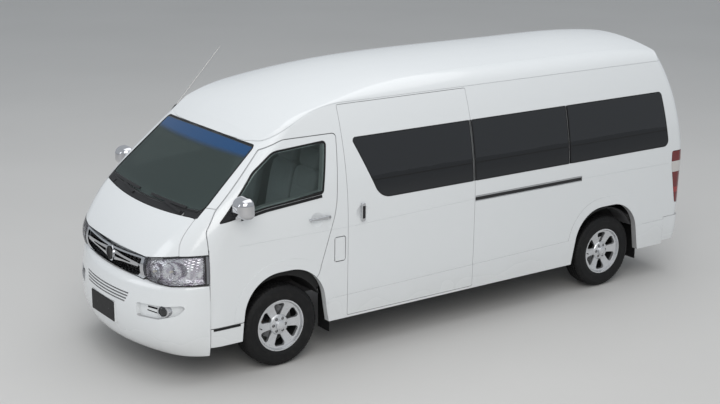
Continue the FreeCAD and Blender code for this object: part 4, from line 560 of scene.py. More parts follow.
def piece(name, form, material, body, slot=None, sharp=35):
    """A piece made of points and faces, with its finish, that rides on a body."""
    shape = bmesh.new()
    corners = [shape.verts.new(point) for point in form[0]]
    for face in form[1]:
        shape.faces.new([corners[i] for i in face])
    bmesh.ops.remove_doubles(shape, verts=shape.verts, dist=1e-6)
    bmesh.ops.recalc_face_normals(shape, faces=shape.faces)
    mesh = bpy.data.meshes.new(name)
    shape.to_mesh(mesh)
    shape.free()
    mesh.shade_smooth()
    mesh.set_sharp_from_angle(angle=math.radians(sharp))
    return placed(name, mesh, material, body, slot)


def placed(name, mesh, material, body, slot=None, place=Matrix()):
    """An object of a mesh, with its finish, that rides on a body; its slot is looked up but not kept."""
    made = bpy.data.objects.new(name, mesh)
    bpy.context.scene.collection.objects.link(made)
    if not mesh.materials:
        mesh.materials.append(finish(material))
    made.matrix_world = place
    slot = slot or SLOTS[material]
    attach(made, body)
    return made


def skinned(rings, loop=False):
    """A skin over rings of points; its ends are closed unless it is a loop."""
    count, size = len(rings), len(rings[0])
    faces = []
    for i in range(count if loop else count - 1):
        a, b = i * size, (i + 1) % count * size
        faces += [(a + j, a + (j + 1) % size, b + (j + 1) % size, b + j) for j in range(size)]
    if not loop:
        faces += [tuple(range(size)), tuple(range((count - 1) * size, count * size))]
    return [point for ring in rings for point in ring], faces


def turned(profile, centre, axis, segments):
    """A ring turned about an axis; its closed profile is radius and offset along the axis."""
    basis = Vector(axis).to_track_quat("Z", "Y").to_matrix()
    rings = []
    for i in range(segments):
        angle = 2 * math.pi * i / segments
        across = basis @ Vector((math.cos(angle), math.sin(angle), 0))
        rings.append([Vector(centre) + across * radius + basis.col[2] * offset for radius, offset in profile])
    return skinned(rings, loop=True)


def tubed(path, radius, sides=8):
    """A round bar along a path."""
    rings = []
    for i, point in enumerate(path):
        along = path[min(i + 1, len(path) - 1)] - path[max(i - 1, 0)]
        basis = along.to_track_quat("Z", "Y").to_matrix()
        rings.append([point + basis @ Vector((radius * math.cos(a), radius * math.sin(a), 0))
                      for a in (2 * math.pi * j / sides for j in range(sides))])
    return skinned(rings)


def outline(corners, step=0.025):
    """A closed outline with rounded corners as evenly spread points; a corner is across, up and radius."""
    ends = []
    for i, (across, up, radius) in enumerate(corners):
        here = Vector((across, up))
        back = Vector(corners[i - 1][:2]) - here
        ahead = Vector(corners[(i + 1) % len(corners)][:2]) - here
        half = back.angle(ahead) / 2
        reach = min(radius / math.tan(half), 0.49 * back.length, 0.49 * ahead.length)
        middle = here + (back.normalized() + ahead.normalized()).normalized() * reach / math.cos(half)
        start = here + back.normalized() * reach - middle
        end = here + ahead.normalized() * reach - middle
        turns = max(2, math.ceil((math.pi - 2 * half) / math.radians(12)))
        ends.append([middle + start.slerp(end, k / turns) * start.length for k in range(turns + 1)])
    points = []
    for i, corner in enumerate(ends):
        points += corner
        gap = ends[(i + 1) % len(ends)][0] - corner[-1]
        count = max(1, math.ceil(gap.length / step))
        points += [corner[-1] + gap * k / count for k in range(1, count)]
    return points


def swollen(points, amount):
    """A closed flat outline moved out by an amount."""
    turn = sum(points[i - 1].x * p.y - points[i - 1].y * p.x for i, p in enumerate(points))
    moved = []
    for i, here in enumerate(points):
        chord = points[(i + 1) % len(points)] - points[i - 1]
        moved.append(here + Vector((chord.y, -chord.x)).normalized() * math.copysign(amount, turn * amount))
    return moved


def slab(points, lay, thickness, edge=0.0012):
    """A flat plate with softened edges; lay puts across, up and out into space."""
    rings = []
    for inset, out in ((edge, 0), (0, edge), (0, thickness - edge), (edge, thickness)):
        rings.append([lay(point.x, point.y, out) for point in swollen(points, -inset)])
    return skinned(rings)


def rectangle(width, height, radius, across=0.0, up=0.0, step=0.05):
    """A rounded rectangle's outline about a middle."""
    corners = [(across + sx * width / 2, up + sy * height / 2, radius)
               for sx, sy in ((1, 1), (1, -1), (-1, -1), (-1, 1))]
    return outline(corners, step)


surfaces = {}


def surface(*names):
    """The joined surface of some carried-over parts, for laying trim on it."""
    if names not in surfaces:
        meshes = [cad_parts[name].data for name in names]
        forms = [([v.co for v in mesh.vertices], [tuple(p.vertices) for p in mesh.polygons])
                 for mesh in meshes]
        surfaces[names] = BVHTree.FromPolygons(*joined(forms))
    return surfaces[names]


def touch(ground, start, way):
    """Where a line from a point meets a surface, and the direction out of the surface there."""
    place, normal, _, _ = ground.ray_cast(start, way)
    if place is None:
        raise RuntimeError("no surface under (%.3f, %.3f, %.3f)" % tuple(start))
    return place, normal if normal.dot(way) < 0 else -normal


def bead(ground, path, way, width, height, loop=True, sink=0.001):
    """A rounded strip laid on a surface under a path, seen along a direction."""
    section = ((-0.5, -sink), (-0.5, height * 0.5), (-0.36, height * 0.9), (0, height), (0.36, height * 0.9),
               (0.5, height * 0.5), (0.5, -sink))
    hits = [touch(ground, point, Vector(way)) for point in path]
    rings, last = [], len(hits) - 1
    for i, (place, normal) in enumerate(hits):
        before = hits[i - 1 if loop else max(i - 1, 0)][0]
        after = hits[(i + 1) % len(hits) if loop else min(i + 1, last)][0]
        across = (after - before).cross(normal).normalized()
        rings.append([place + across * width * u + normal * v for u, v in section])
    return skinned(rings, loop)


def side_path(points, side):
    """Points of a side outline, beside the body."""
    return [Vector((FRONT_AXLE + point.x, side * 1.4, point.y)) for point in points]


def line(start, end, step=0.03):
    """Evenly spread points from one point to another."""
    start, end = Vector(start), Vector(end)
    count = max(2, math.ceil((end - start).length / step))
    return [start.lerp(end, i / count) for i in range(count + 1)]


def stuffed(name, size, seams, cover, still):
    """A cushion's cover: a soft box, blown up between its seams by a cloth simulation, then sewn in."""
    half = [s / 2 for s in size]
    shape = bmesh.new()
    bmesh.ops.create_cube(shape, size=2.0)
    bmesh.ops.subdivide_edges(shape, edges=shape.edges, cuts=15, use_grid_fill=True)
    for vertex in shape.verts:
        big = max(abs(c) for c in vertex.co)
        length = sum(abs(c) ** 6 for c in vertex.co) ** (1 / 6)
        vertex.co = Vector(c * big / length * h for c, h in zip(vertex.co, half))
        vertex.co.z += cover.crown * 0.5 * (1 - (vertex.co.x / half[0]) ** 2) * (vertex.co.z > 0)
    mesh = bpy.data.meshes.new(name)
    shape.to_mesh(mesh)
    shape.free()
    soft = bpy.data.objects.new(name, mesh)
    scene = bpy.context.scene
    scene.collection.objects.link(soft)
    even = soft.modifiers.new("even", "REMESH")
    even.mode = "VOXEL"
    even.voxel_size = cover.mesh_size
    soft.data = bpy.data.meshes.new_from_object(soft.evaluated_get(bpy.context.evaluated_depsgraph_get()))
    soft.modifiers.clear()
    start = [vertex.co.copy() for vertex in soft.data.vertices]

    def sewn(point):
        """How near a point of the upper cover is to a seam."""
        if point.z < 0:
            return 1.0
        rim = min(half[0] - abs(point.x), half[1] - abs(point.y)) - 0.014
        return min([abs(rim)] + [abs(point[axis] - place * half[axis]) for axis, place in seams])

    if not still:
        held = soft.vertex_groups.new(name="held")
        pinned = [i for i, p in enumerate(start) if p.z < -half[2] * 0.6 or sewn(p) < cover.mesh_size * 0.6]
        held.add(pinned, 1.0, "REPLACE")
        cloth = soft.modifiers.new("cover", "CLOTH")
        cloth.settings.use_pressure = True
        cloth.settings.uniform_pressure_force = 4.0
        cloth.settings.effector_weights.gravity = 0.0
        cloth.settings.vertex_group_mass = "held"
        cloth.settings.tension_stiffness = cloth.settings.compression_stiffness = 5.0
        cloth.point_cache.frame_start, cloth.point_cache.frame_end = 1, 20
        for step in range(1, 21):
            scene.frame_set(step)
        soft.data = bpy.data.meshes.new_from_object(soft.evaluated_get(bpy.context.evaluated_depsgraph_get()))
        soft.modifiers.clear()
        scene.frame_set(1)
    for vertex, origin in zip(soft.data.vertices, start):
        move = vertex.co - origin
        if move.length > cover.crown:
            move *= cover.crown / move.length
        depth = cover.seam_depth * math.exp(-(sewn(origin) / cover.mesh_size) ** 2)
        vertex.co = origin + move - Vector((0, 0, depth))
    made = soft.data
    bpy.data.objects.remove(soft)
    made.shade_smooth()
    return made


# Sizes and colours that a user would change

class PaintColours(PropertyGroup):
    paint: FloatVectorProperty(name="Body paint", description="Colour of the body's paint",
                               default=(0.78, 0.80, 0.81), subtype="COLOR")


class WheelSizes(PropertyGroup):
    groove_depth: FloatProperty(name="Groove depth", description="Depth of the tread's grooves",
                                default=0.008, unit="LENGTH")
    groove_width: FloatProperty(name="Groove width", description="Width of the tread's grooves",
                                default=0.009, unit="LENGTH")
    blocks: IntProperty(name="Tread blocks", description="Blocks round the tyre", default=72)
    nuts: IntProperty(name="Wheel nuts", description="Nuts on each wheel", default=6)
    nut_circle: FloatProperty(name="Nut circle", description="Radius of the circle of wheel nuts",
                              default=0.057, unit="LENGTH")
    nut_radius: FloatProperty(name="Nut radius", description="Radius of a wheel nut", default=0.0105,
                              unit="LENGTH")


class SealSizes(PropertyGroup):
    screen: FloatProperty(name="Windscreen seal", description="Width of the windscreen's rubber",
                          default=0.012, unit="LENGTH")
    door: FloatProperty(name="Door glass seal", description="Width of the door glass's rubber", default=0.014,
                        unit="LENGTH")
    belt: FloatProperty(name="Belt moulding", description="Height of the moulding under the door glass",
                        default=0.024, unit="LENGTH")


class SeatSizes(PropertyGroup):
    crown: FloatProperty(name="Crown", description="Most that a cover swells", default=0.016, unit="LENGTH")
    seam_depth: FloatProperty(name="Seam depth", description="Depth of the sewn seams", default=0.005,
                              unit="LENGTH")
    mesh_size: FloatProperty(name="Cover mesh", description="Spacing of the cover's points", default=0.010,
                             unit="LENGTH")
    lean: FloatProperty(name="Lean", description="How far the seat backs lean", default=math.radians(12),
                        subtype="ANGLE")
    cloth: FloatVectorProperty(name="Seat cloth", description="Darker colour of the seat cloth",
                               default=(0.30, 0.31, 0.33), subtype="COLOR")


class StageSettings(PropertyGroup):
    floor_size: FloatProperty(name="Floor size", description="Side of the studio floor", default=160.0,
                              unit="LENGTH")
    sky: FloatVectorProperty(name="Sky", description="Colour of the room's light", default=(0.90, 0.95, 1.0),
                             subtype="COLOR")
    room: FloatProperty(name="Room light", description="Strength of the room's light", default=0.52)
    key: FloatProperty(name="Key light", description="Power of the lamp at the front left", default=700.0,
                       subtype="POWER")


# Operators

class MINIBUS_OT_finishes(Operator):
    """Give every carried-over panel, window and metal part its finish"""
    bl_idname = "minibus.finishes"
    bl_label = "Finishes"

    def execute(self, context):
        chosen = {node: material for material, nodes in NODE_FINISH.items() for node in nodes}
        for name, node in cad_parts.items():
            node.data.materials.clear()
            node.data.materials.append(finish(chosen.get(name, "body_paint")))
        return {"FINISHED"}


class MINIBUS_OT_tyres(Operator):
    """Build the four tyres with grooved treads, shoulder blocks and shaped sidewalls"""
    bl_idname = "minibus.tyres"
    bl_label = "Tyres"

    def section(self, sizes):
        """The tyre's section as radius and offset, from the outer bead over the tread to the inner bead."""
        side = [(0.2085, 0.0755), (0.214, 0.083), (0.224, 0.0905), (0.240, 0.0950), (0.243, 0.0962),
                (0.247, 0.0960), (0.268, 0.0972), (0.292, 0.0955), (0.295, 0.0964), (0.299, 0.0960),
                (0.304, 0.0925), (0.318, 0.0885), (0.329, 0.0815), (0.3365, 0.0715)]
        tread = []
        gap, deep = sizes.groove_width / 2, sizes.groove_depth
        for middle in (0.048, 0.017, -0.017, -0.048):
            crown = 0.3412 - 0.0022 * abs(middle) / 0.048
            tread += [(crown, middle + gap + 0.001), (crown - deep, middle + gap)]
            tread += [(crown - deep, middle - gap), (crown, middle - gap - 0.001)]
        return side + tread + [(radius, -offset) for radius, offset in reversed(side)]

    def execute(self, context):
        sizes = context.scene.minibus_wheels
        section = self.section(sizes)
        for name, x, side in WHEELS:
            rings = []
            for i in range(sizes.blocks * 4):
                angle = 2 * math.pi * i / (sizes.blocks * 4)
                ring = []
                for radius, offset in section:
                    rib = 0 if abs(offset) > 0.052 else 1 if abs(offset) > 0.012 else 2
                    notched = (i + rib) % 4 == 0 and radius > 0.310 and abs(offset) < 0.092
                    r = radius - (0.0045 if notched else 0.0)
                    y, z = side * (WHEEL_Y + offset), TYRE_RADIUS + r * math.sin(angle)
                    ring.append(Vector((x + r * math.cos(angle), y, z)))
                rings.append(ring)
            tyre = piece("tread_" + name, skinned(rings, loop=True), "tyre_rubber", "wheel_" + name, sharp=40)
            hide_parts("tyre_" + name)
        return {"FINISHED"}


class MINIBUS_OT_wheel_trim(Operator):
    """Put the nuts, centre cap and valve on each wheel, with a dark disc round each nut as painted shade in
    its pocket
    """
    bl_idname = "minibus.wheel_trim"
    bl_label = "Wheel trim"

    def execute(self, context):
        sizes = context.scene.minibus_wheels
        r = sizes.nut_radius
        nut = [(0, 0.0665), (r * 0.5, 0.0660), (r * 0.84, 0.0640), (r, 0.0610), (r, 0.0475), (0, 0.0475)]
        cap = [(0, 0.0925), (0.018, 0.0923), (0.029, 0.0910), (0.0330, 0.0888), (0.0335, 0.0860), (0, 0.0860)]
        # Painted shade: a dark disc round each nut, where shade falls in the nut's pocket.
        shade_pocket = [(0, 0.0612), (0.0135, 0.0612), (0.0150, 0.0600), (0.0150, 0.0500), (0, 0.0500)]
        stem = [(0, 0.086), (0.003, 0.0855), (0.004, 0.083), (0.004, 0.050), (0, 0.050)]
        for name, x, side in WHEELS:
            centre, axis = Vector((x, side * WHEEL_Y, TYRE_RADIUS)), Vector((0, side, 0))
            nuts, dark = [], []
            for i in range(sizes.nuts):
                angle = 2 * math.pi * i / sizes.nuts
                spoke = Vector((math.cos(angle), 0, math.sin(angle)))
                nuts.append(turned(nut, centre + spoke * sizes.nut_circle, axis, 6))
                dark.append(turned(shade_pocket, centre + spoke * sizes.nut_circle, axis, 20))
            dark.append(turned(stem, centre + Vector((VALVE_RADIUS, 0, 0)), axis, 12))
            piece("wheel_cap_" + name, turned(cap, centre, axis, 48), "alloy_cap", "wheel_" + name)
            piece("wheel_nuts_" + name, joined(nuts), "steel", "wheel_" + name)
            # The valve stem and the painted shade discs round the nuts, as one black piece.
            piece("valve_and_shade_pockets_" + name, joined(dark), "soft_rubber", "wheel_" + name)
        return {"FINISHED"}


class MINIBUS_OT_seals(Operator):
    """Lay the rubbers and mouldings round the glass, and the black strip on the step sill"""
    bl_idname = "minibus.seals"
    bl_label = "Seals"

    def execute(self, context):
        sizes = context.scene.minibus_seals
        inset = sizes.screen / 2 + 0.002
        path = [Vector((4, p.x, p.y)) for p in swollen(outline(SCREEN), -inset)]
        rubber = bead(surface("windscreen"), path, (-1, 0, 0), sizes.screen, 0.002)
        piece("screen_rubber", rubber, "soft_rubber", "vehicle")
        path = [Vector((-4, p.x, p.y)) for p in swollen(outline(GATE_GLASS), -0.008)]
        rubber = bead(surface("tailgate_window"), path, (1, 0, 0), 0.010, 0.0012)
        piece("gate_rubber", rubber, "soft_rubber", "tailgate")
        for name, side in SIDES:
            way, door = (0, -side, 0), "door_" + name
            path = side_path(swollen(outline(DOOR_GLASS), -sizes.door / 2 - 0.002), side)
            rubber = bead(surface("door_window_" + name), path, way, sizes.door, 0.0025)
            piece("glass_rubber_" + name, rubber, "soft_rubber", door)
            under = swollen(outline(DOOR_GLASS), sizes.belt / 2 + 0.001)
            under = sorted((p for p in under if p.y < 1.371 and p.x < 0.40), key=lambda p: p.x)
            belt = bead(surface(door), side_path(under, side), way, sizes.belt, 0.005, loop=False)
            piece("belt_moulding_" + name, belt, "soft_rubber", door)
            panes = []
            for corners in SIDE_GLASSES:
                path = side_path(swollen(outline(corners), -0.0055), side)
                panes.append(bead(surface("side_windows"), path, way, 0.007, 0.0008))
            piece("pane_rubbers_" + name, joined(panes), "soft_rubber", "vehicle")
            bars, ground = [], surface("sliding_door", "body_side_" + name)
            for across, width in ((-1.9295, 0.008), (-1.9405, 0.008), (-3.0440, 0.011)):
                path = side_path([Vector((across, 1.270 + 0.0305 * i)) for i in range(18)], side)
                bars.append(bead(ground, path, way, width, 0.0012, loop=False))
            piece("pane_bars_" + name, joined(bars), "gloss_black", "vehicle")
            path = line((FRONT_AXLE + 0.395, side * 1.4, 0.443), (FRONT_AXLE + 0.660, side * 1.4, 0.443))
            strip = bead(surface("cab_frame"), path, way, 0.020, 0.003, loop=False)
            piece("sill_strip_" + name, strip, "soft_rubber", "vehicle")
        return {"FINISHED"}


class MINIBUS_OT_lamps(Operator):
    """Fit the bulbs, fog lamp rings and recess slots, reflectors and the high stop lamp"""
    bl_idname = "minibus.lamps"
    bl_label = "Lamps"

    def execute(self, context):
        stem = [(0, 0.034), (0.006, 0.033), (0.010, 0.028), (0.011, 0.020), (0.007, 0.014),
                (0.007, -0.010), (0, -0.010)]
        cup = [(0.016, 0.004), (0.019, 0.007), (0.023, 0.005), (0.024, -0.012), (0.015, -0.012)]
        ring = [(0.0385, -0.004), (0.0385, 0.001), (0.0405, 0.0035), (0.0440, 0.0030),
                (0.0460, -0.001), (0.0460, -0.004)]
        lens = [(0, 0.009), (0.014, 0.0085), (0.026, 0.006), (0.034, 0.001), (0.036, -0.004), (0, -0.004)]
        for name, side in SIDES:
            bulbs, cups, slots = [], [], []
            for y, z in LAMP_BOWLS:
                seat, _ = touch(surface("headlamps"), Vector((4, side * y, z)), Vector((-1, 0, 0)))
                bulbs.append(turned(stem, seat, (1, 0, 0), 20))
                cups.append(turned(cup, seat, (1, 0, 0), 28))
            piece("bulbs_" + name, joined(bulbs), "bulb_glass", "vehicle")
            y, z = FOG_LAMP
            rim = []
            for k in range(12):
                across, up = 0.042 * math.cos(math.pi * k / 6), 0.042 * math.sin(math.pi * k / 6)
                start = Vector((4, side * y + across, z + up))
                rim.append(touch(surface("fog_lamps"), start, Vector((-1, 0, 0)))[0])
            middle = sum(rim, Vector()) / len(rim)
            out = (rim[0] - middle).cross(rim[3] - middle).normalized()
            out = out if out.x > 0 else -out
            cups.append(turned(ring, middle, out, 48))
            piece("lamp_rings_" + name, joined(cups), "chrome", "vehicle")
            glass = turned(lens, middle - out * 0.006, out, 40)
            piece("fog_lens_" + name, glass, "fog_lens", "vehicle")
            ground = surface("front_bumper")
            for start, end, width in FOG_SLOTS:
                path = line((4, side * start[0], start[1]), (4, side * end[0], end[1]), 0.02)
                slots.append(bead(ground, path, (-1, 0, 0), width, 0.003, loop=False))
            piece("fog_slots_" + name, joined(slots), "gloss_black", "vehicle")
            path = line((-4, side * 0.60, 0.43), (-4, side * 0.78, 0.43), 0.02)
            mark = bead(surface("rear_bumper"), path, (1, 0, 0), 0.036, 0.002, loop=False)
            piece("rear_reflector_" + name, mark, "red_lens", "vehicle")
        path = line((-4, -0.16, 1.932), (-4, 0.16, 1.932), 0.04)
        lamp = bead(surface("tailgate"), path, (1, 0, 0), 0.030, 0.012, loop=False)
        piece("high_stop_lamp", lamp, "red_lens", "tailgate")
        return {"FINISHED"}


class MINIBUS_OT_trim(Operator):
    """Fit the badge disc, plate frames, mirror glasses, handle inserts, lock barrels and tailgate trim"""
    bl_idname = "minibus.trim"
    bl_label = "Trim"

    def plate_trim(self, name, middle, way, ground, body):
        """A frame and two screws for a bare plate."""
        x = -4 * way
        edge = swollen(rectangle(0.400, 0.155, 0.006, 0.0, middle, 0.04), 0.0035)
        path = [Vector((x, p.x, p.y)) for p in edge]
        piece(name + "_frame", bead(ground, path, (way, 0, 0), 0.007, 0.0028), "dark_plastic", body)
        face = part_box(name)[1 if way < 0 else 0][0]
        head = [(0, -0.0002), (0.0012, -0.0002), (0.0014, -0.0010), (0.0022, -0.0010), (0.0030, -0.0004),
                (0.0034, -0.0012), (0.0034, -0.0030), (0, -0.0030)]
        screws = [turned(head, (face, s * 0.105, middle), (-way, 0, 0), 16) for s in (1, -1)]
        piece(name + "_screws", joined(screws), "steel", body)

    def execute(self, context):
        self.plate_trim("plate_front", 0.482, -1, surface("front_bumper"), "vehicle")
        self.plate_trim("plate_rear", 0.700, 1, surface("tailgate"), "tailgate")
        face, _ = touch(surface("grille"), Vector((4, 0, 0.907)), Vector((-1, 0, 0)))
        disc = [(0, 0.0016), (0.044, 0.0014), (0.048, 0.0026), (0.052, 0.0026), (0.0555, 0.0004),
                (0.0555, -0.002), (0, -0.002)]
        piece("badge_disc", turned(disc, face, (1, 0, 0.03), 64), "gloss_black", "vehicle")
        for name, side in SIDES:
            glass = slab(outline([(side * y, z, r) for y, z, r in MIRROR_GLASS], 0.03),
                         lambda u, v, w: Vector((2.0805 - w, u, v)), 0.003)
            piece("mirror_glass_" + name, glass, "mirror_glass", "door_" + name)
            start = Vector((FRONT_AXLE - 0.420, side * 1.4, 1.197))
            spot, out = touch(surface("handle_" + name), start, Vector((0, -side, 0)))
            barrel = [(0, 0.0005), (0.0012, 0.0005), (0.0015, 0.0018), (0.006, 0.0018),
                      (0.0072, 0.0008), (0.0072, -0.001), (0, -0.001)]
            piece("lock_" + name, turned(barrel, spot, out, 24), "steel", "door_" + name)
        ground = surface("sliding_handle")
        path = line((FRONT_AXLE - 0.757, 1.4, 1.130), (FRONT_AXLE - 0.757, 1.4, 1.234), 0.013)
        grip = bead(ground, path, (0, -1, 0), 0.026, 0.0012, loop=False)
        piece("sliding_handle_grip", grip, "dark_plastic", "vehicle")
        ground = surface("tailgate")
        path = line((-4, -0.31, 0.835), (-4, 0.31, 0.835), 0.04)
        grip = bead(ground, path, (1, 0, 0), 0.052, 0.0062, loop=False)
        piece("gate_grip", grip, "body_paint", "tailgate")
        path = line((-4, -0.30, 0.803), (-4, 0.30, 0.803), 0.04)
        shade = bead(ground, path, (1, 0, 0), 0.014, 0.003, loop=False)
        piece("gate_grip_shade", shade, "dark_plastic", "tailgate")
        ground = surface("tailgate_window", "tailgate")
        wiper = []
        for start, end, step, width, height in (((-4, 0.0, 1.296), (-4, 0.30, 1.345), 0.03, 0.014, 0.0045),
                                                ((-4, 0.04, 1.368), (-4, 0.50, 1.352), 0.03, 0.012, 0.0060),
                                                ((-4, 0.29, 1.341), (-4, 0.27, 1.362), 0.01, 0.012, 0.0050)):
            wiper.append(bead(ground, line(start, end, step), (1, 0, 0), width, height, loop=False))
        piece("rear_wiper", joined(wiper), "dark_plastic", "tailgate")
        return {"FINISHED"}


class MINIBUS_OT_cab_trim(Operator):
    """Fit the inner mirror, the instruments with their dials, and the vents"""
    bl_idname = "minibus.cab_trim"
    bl_label = "Cab trim"

    def facing_driver(self, start, end):
        """How a flat piece lies on the dashboard's rear face between a low and a high point there."""
        low, _ = touch(surface("dashboard"), Vector((1.5, *start)), Vector((1, 0, 0)))
        high, _ = touch(surface("dashboard"), Vector((1.5, *end)), Vector((1, 0, 0)))
        up = (high - low).normalized()
        across = Vector((0, 1, 0))
        out = up.cross(across).normalized()
        out = out if out.x < 0 else -out
        return lambda u, v, w: low + across * u + up * v + out * (w - 0.002)

    def execute(self, context):
        glass = slab(rectangle(0.235, 0.062, 0.018),
                     lambda u, v, w: Vector((1.905 - w * 0.98, u, 1.705 + v - w * 0.1)), 0.004)
        shell = slab(rectangle(0.250, 0.074, 0.024),
                     lambda u, v, w: Vector((1.906 + w, u, 1.705 + v)), 0.022, 0.008)
        stem = tubed([Vector((1.920, 0, 1.712)), Vector((1.930, 0, 1.740)), Vector((1.938, 0, 1.750))], 0.007)
        piece("inner_mirror", joined([shell, stem]), "dark_plastic", "vehicle")
        piece("inner_mirror_glass", glass, "mirror_glass", "vehicle")
        lay = self.facing_driver((-0.40, 1.130), (-0.40, 1.235))
        panel = slab(rectangle(0.30, 0.095, 0.03, 0.0, 0.052), lay, 0.012, 0.004)
        piece("instruments", panel, "gloss_black", "vehicle")
        rim = [(0.030, 0.010), (0.033, 0.014), (0.037, 0.013), (0.038, 0.008)]
        out = (lay(0, 0, 1) - lay(0, 0, 0)).normalized()
        dials = [turned(rim, lay(across, 0.052, 0.0), out, 32) for across in (-0.08, 0.0, 0.08)]
        piece("dials", joined(dials), "chrome", "vehicle")
        vents = []
        for y in (-0.70, -0.09, 0.09, 0.68):
            vent = self.facing_driver((y, 1.150), (y, 1.225))
            vents.append(slab(rectangle(0.135, 0.062, 0.012, 0.0, 0.040), vent, 0.007, 0.002))
            for k in range(4):
                vane = rectangle(0.118, 0.004, 0.0015, 0.0, 0.022 + 0.012 * k)
                vents.append(slab(vane, vent, 0.011, 0.001))
        piece("vents", joined(vents), "soft_rubber", "vehicle", "plastic_black")
        return {"FINISHED"}


class MINIBUS_OT_seats(Operator):
    """Build the seats' cushions, backs and headrests with their frames"""
    bl_idname = "minibus.seats"
    bl_label = "Seats"

    def frame_form(self, width):
        """Pedestal rails and legs of one seat, standing on its floor."""
        forms = []
        for side in (-1, 1):
            y = side * (width / 2 - 0.07)
            rail = rectangle(0.40, 0.045, 0.012, 0.23, 0.142)
            forms.append(slab(rail, lambda u, v, w, y=y: Vector((u, y + w, v)), 0.02))
            for x in (0.08, 0.38):
                forms.append(tubed([Vector((x, y + 0.01, z)) for z in (0.003, 0.06, 0.13)], 0.016, 12))
                foot = rectangle(0.07, 0.05, 0.012, x, y + 0.01)
                forms.append(slab(foot, lambda u, v, w: Vector((u, v, w + 0.0002)), 0.008))
        return forms

    def execute(self, context):
        cover = context.scene.minibus_seats
        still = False
        seams = ((1, -0.62), (1, 0.62), (0, -0.25), (0, 0.28))
        cushion = stuffed("cushion", (0.468, 0.420, 0.100), seams, cover, still)
        seams = ((1, -0.62), (1, 0.62), (0, -0.35), (0, 0.15))
        back = stuffed("back", (0.530, 0.420, 0.078), seams, cover, still)
        rest = stuffed("rest", (0.160, 0.245, 0.058), (), cover, still)
        seats = [("driver_seat", CAB_SEAT, -0.44, 0.50, CAB_FLOOR, "cab_seats")]
        seats += [("mate_seat_%d" % (i + 1), CAB_SEAT, 0.33 + s * 0.175, 0.35, CAB_FLOOR, "cab_seats")
                  for i, s in enumerate((-1, 1))]
        for row, (x, left, right, outer) in enumerate(SEAT_ROWS):
            title = "row%d_" % (row + 1)
            seats.append((title + "left", x, outer - left / 2, left, SALOON_FLOOR, "passenger_seats"))
            for i in range(2):
                name, y = title + "right_%d" % (i + 1), right / 4 * (2 * i + 1) - outer
                seats.append((name, x, y, right / 2, SALOON_FLOOR, "passenger_seats"))
        pivot = Matrix.Translation((0, 0, 0.220))
        lean = pivot @ Matrix.Rotation(-cover.lean, 4, "Y") @ pivot.inverted()
        upright = Matrix.Rotation(math.radians(90), 4, "Y")
        for name, x, y, width, base, node in seats:
            here = Matrix.Translation((FRONT_AXLE + x, y, base))
            wide = Matrix.Diagonal((1, (width - 0.012) / 0.436, 1, 1))
            low, middle, high = (Matrix.Translation(spot) for spot in
                                 ((0.240, 0, 0.222), (-0.036, 0, 0.452), (-0.036, 0, 0.796)))
            pads = ((name + "_cushion", cushion, here @ low @ wide),
                    (name + "_back", back, here @ lean @ middle @ wide @ upright),
                    (name + "_headrest", rest, here @ lean @ high @ upright))
            for title, mesh, place in pads:
                pad = placed(title, mesh, "seat_cloth", "vehicle", place=place)
                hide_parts(node)
            forms = self.frame_form(width)
            for s in (-1, 1):
                stem = [lean @ Vector((-0.036, s * 0.055, z)) for z in (0.690, 0.730)]
                forms.append(tubed(stem, 0.006))
            points, faces = joined(forms)
            form = ([here @ point for point in points], faces)
            rails = piece(name + "_frame", form, "chassis_paint", "vehicle")
            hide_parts(node)
        return {"FINISHED"}


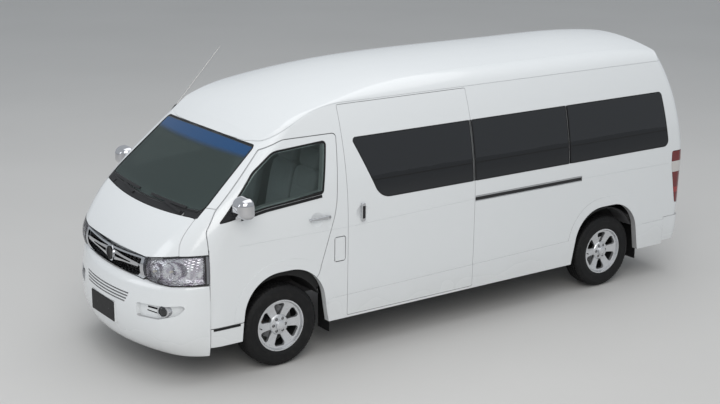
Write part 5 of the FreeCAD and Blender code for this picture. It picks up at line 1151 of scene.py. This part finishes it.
class MINIBUS_OT_stage(Operator):
    """Lay the floor and set the light and the camera"""
    bl_idname = "minibus.stage"
    bl_label = "Stage"

    def execute(self, context):
        scene = context.scene
        settings = scene.minibus_stage
        half = settings.floor_size / 2
        mesh = bpy.data.meshes.new("floor")
        corners = [(-half, -half, 0), (half, -half, 0), (half, half, 0), (-half, half, 0)]
        mesh.from_pydata(corners, [], [(0, 1, 2, 3)])
        mesh.materials.append(finish("pale_floor"))
        floor = bpy.data.objects.new("floor", mesh)
        scene.collection.objects.link(floor)
        world = bpy.data.worlds.new("room")
        world.use_nodes = True
        world.node_tree.nodes["Background"].inputs[0].default_value = (*settings.sky, 1.0)
        world.node_tree.nodes["Background"].inputs[1].default_value = settings.room
        scene.world = world
        for name, place, target, size, power, colour in (
            ("key", (7, 10, 9), (0, 0, 1), 9, settings.key, (1.0, 0.98, 0.95)),
            ("top", (-1, 0, 11), (0, 0, 0), 12, settings.key * 0.7, (1.0, 1.0, 1.0)),
            ("fill", (14, -6, 6), (1, 0, 1), 7, settings.key * 0.4, (0.95, 0.97, 1.0)),
        ):
            light = bpy.data.lights.new(name, "AREA")
            light.size, light.energy, light.color = size, power, colour
            lamp = bpy.data.objects.new(name, light)
            lamp.location = place
            lamp.rotation_euler = (Vector(target) - Vector(place)).to_track_quat("-Z", "Y").to_euler()
            scene.collection.objects.link(lamp)
        lens = bpy.data.cameras.new("camera")
        lens.lens, lens.sensor_width = CAMERA_LENS, CAMERA_SENSOR
        lens.clip_end = 300
        camera = bpy.data.objects.new("camera", lens)
        yaw, pitch, roll = CAMERA_TURN
        ahead = Vector((math.cos(yaw) * math.cos(pitch), math.sin(yaw) * math.cos(pitch), -math.sin(pitch)))
        right = Vector((math.sin(yaw), -math.cos(yaw), 0))
        up = right.cross(ahead)
        tilted_right = math.cos(roll) * right + math.sin(roll) * up
        tilted_up = -math.sin(roll) * right + math.cos(roll) * up
        turn = Matrix((tilted_right, tilted_up, -ahead)).transposed()
        camera.matrix_world = Matrix.Translation(CAMERA_PLACE) @ turn.to_4x4()
        scene.collection.objects.link(camera)
        scene.camera = camera
        scene.view_settings.view_transform = "Standard"
        return {"FINISHED"}


OPERATORS = (
    MINIBUS_OT_finishes, MINIBUS_OT_tyres, MINIBUS_OT_wheel_trim, MINIBUS_OT_seals, MINIBUS_OT_lamps,
    MINIBUS_OT_trim, MINIBUS_OT_cab_trim, MINIBUS_OT_seats, MINIBUS_OT_stage,
)


class MINIBUS_PT_pieces(Panel):
    """The pieces of the minibus, in the order they are built"""
    bl_idname = "MINIBUS_PT_pieces"
    bl_label = "Minibus"
    bl_space_type = "VIEW_3D"
    bl_region_type = "UI"
    bl_category = "Minibus"

    def draw(self, context):
        for operator in OPERATORS:
            self.layout.operator(operator.bl_idname)


SETTINGS = {"minibus_paint": PaintColours, "minibus_wheels": WheelSizes, "minibus_seals": SealSizes,
            "minibus_seats": SeatSizes, "minibus_stage": StageSettings}
CLASSES = (*SETTINGS.values(), *OPERATORS, MINIBUS_PT_pieces)


def register():
    for item in CLASSES:
        bpy.utils.register_class(item)
    for name, group in SETTINGS.items():
        setattr(bpy.types.Scene, name, PointerProperty(type=group))


def unregister():
    for name in SETTINGS:
        delattr(bpy.types.Scene, name)
    for item in reversed(CLASSES):
        bpy.utils.unregister_class(item)


def main():
    register()
    for operator in OPERATORS:
        group, name = operator.bl_idname.split(".")
        getattr(getattr(bpy.ops, group), name)()


if __name__ == "__main__":
    main()
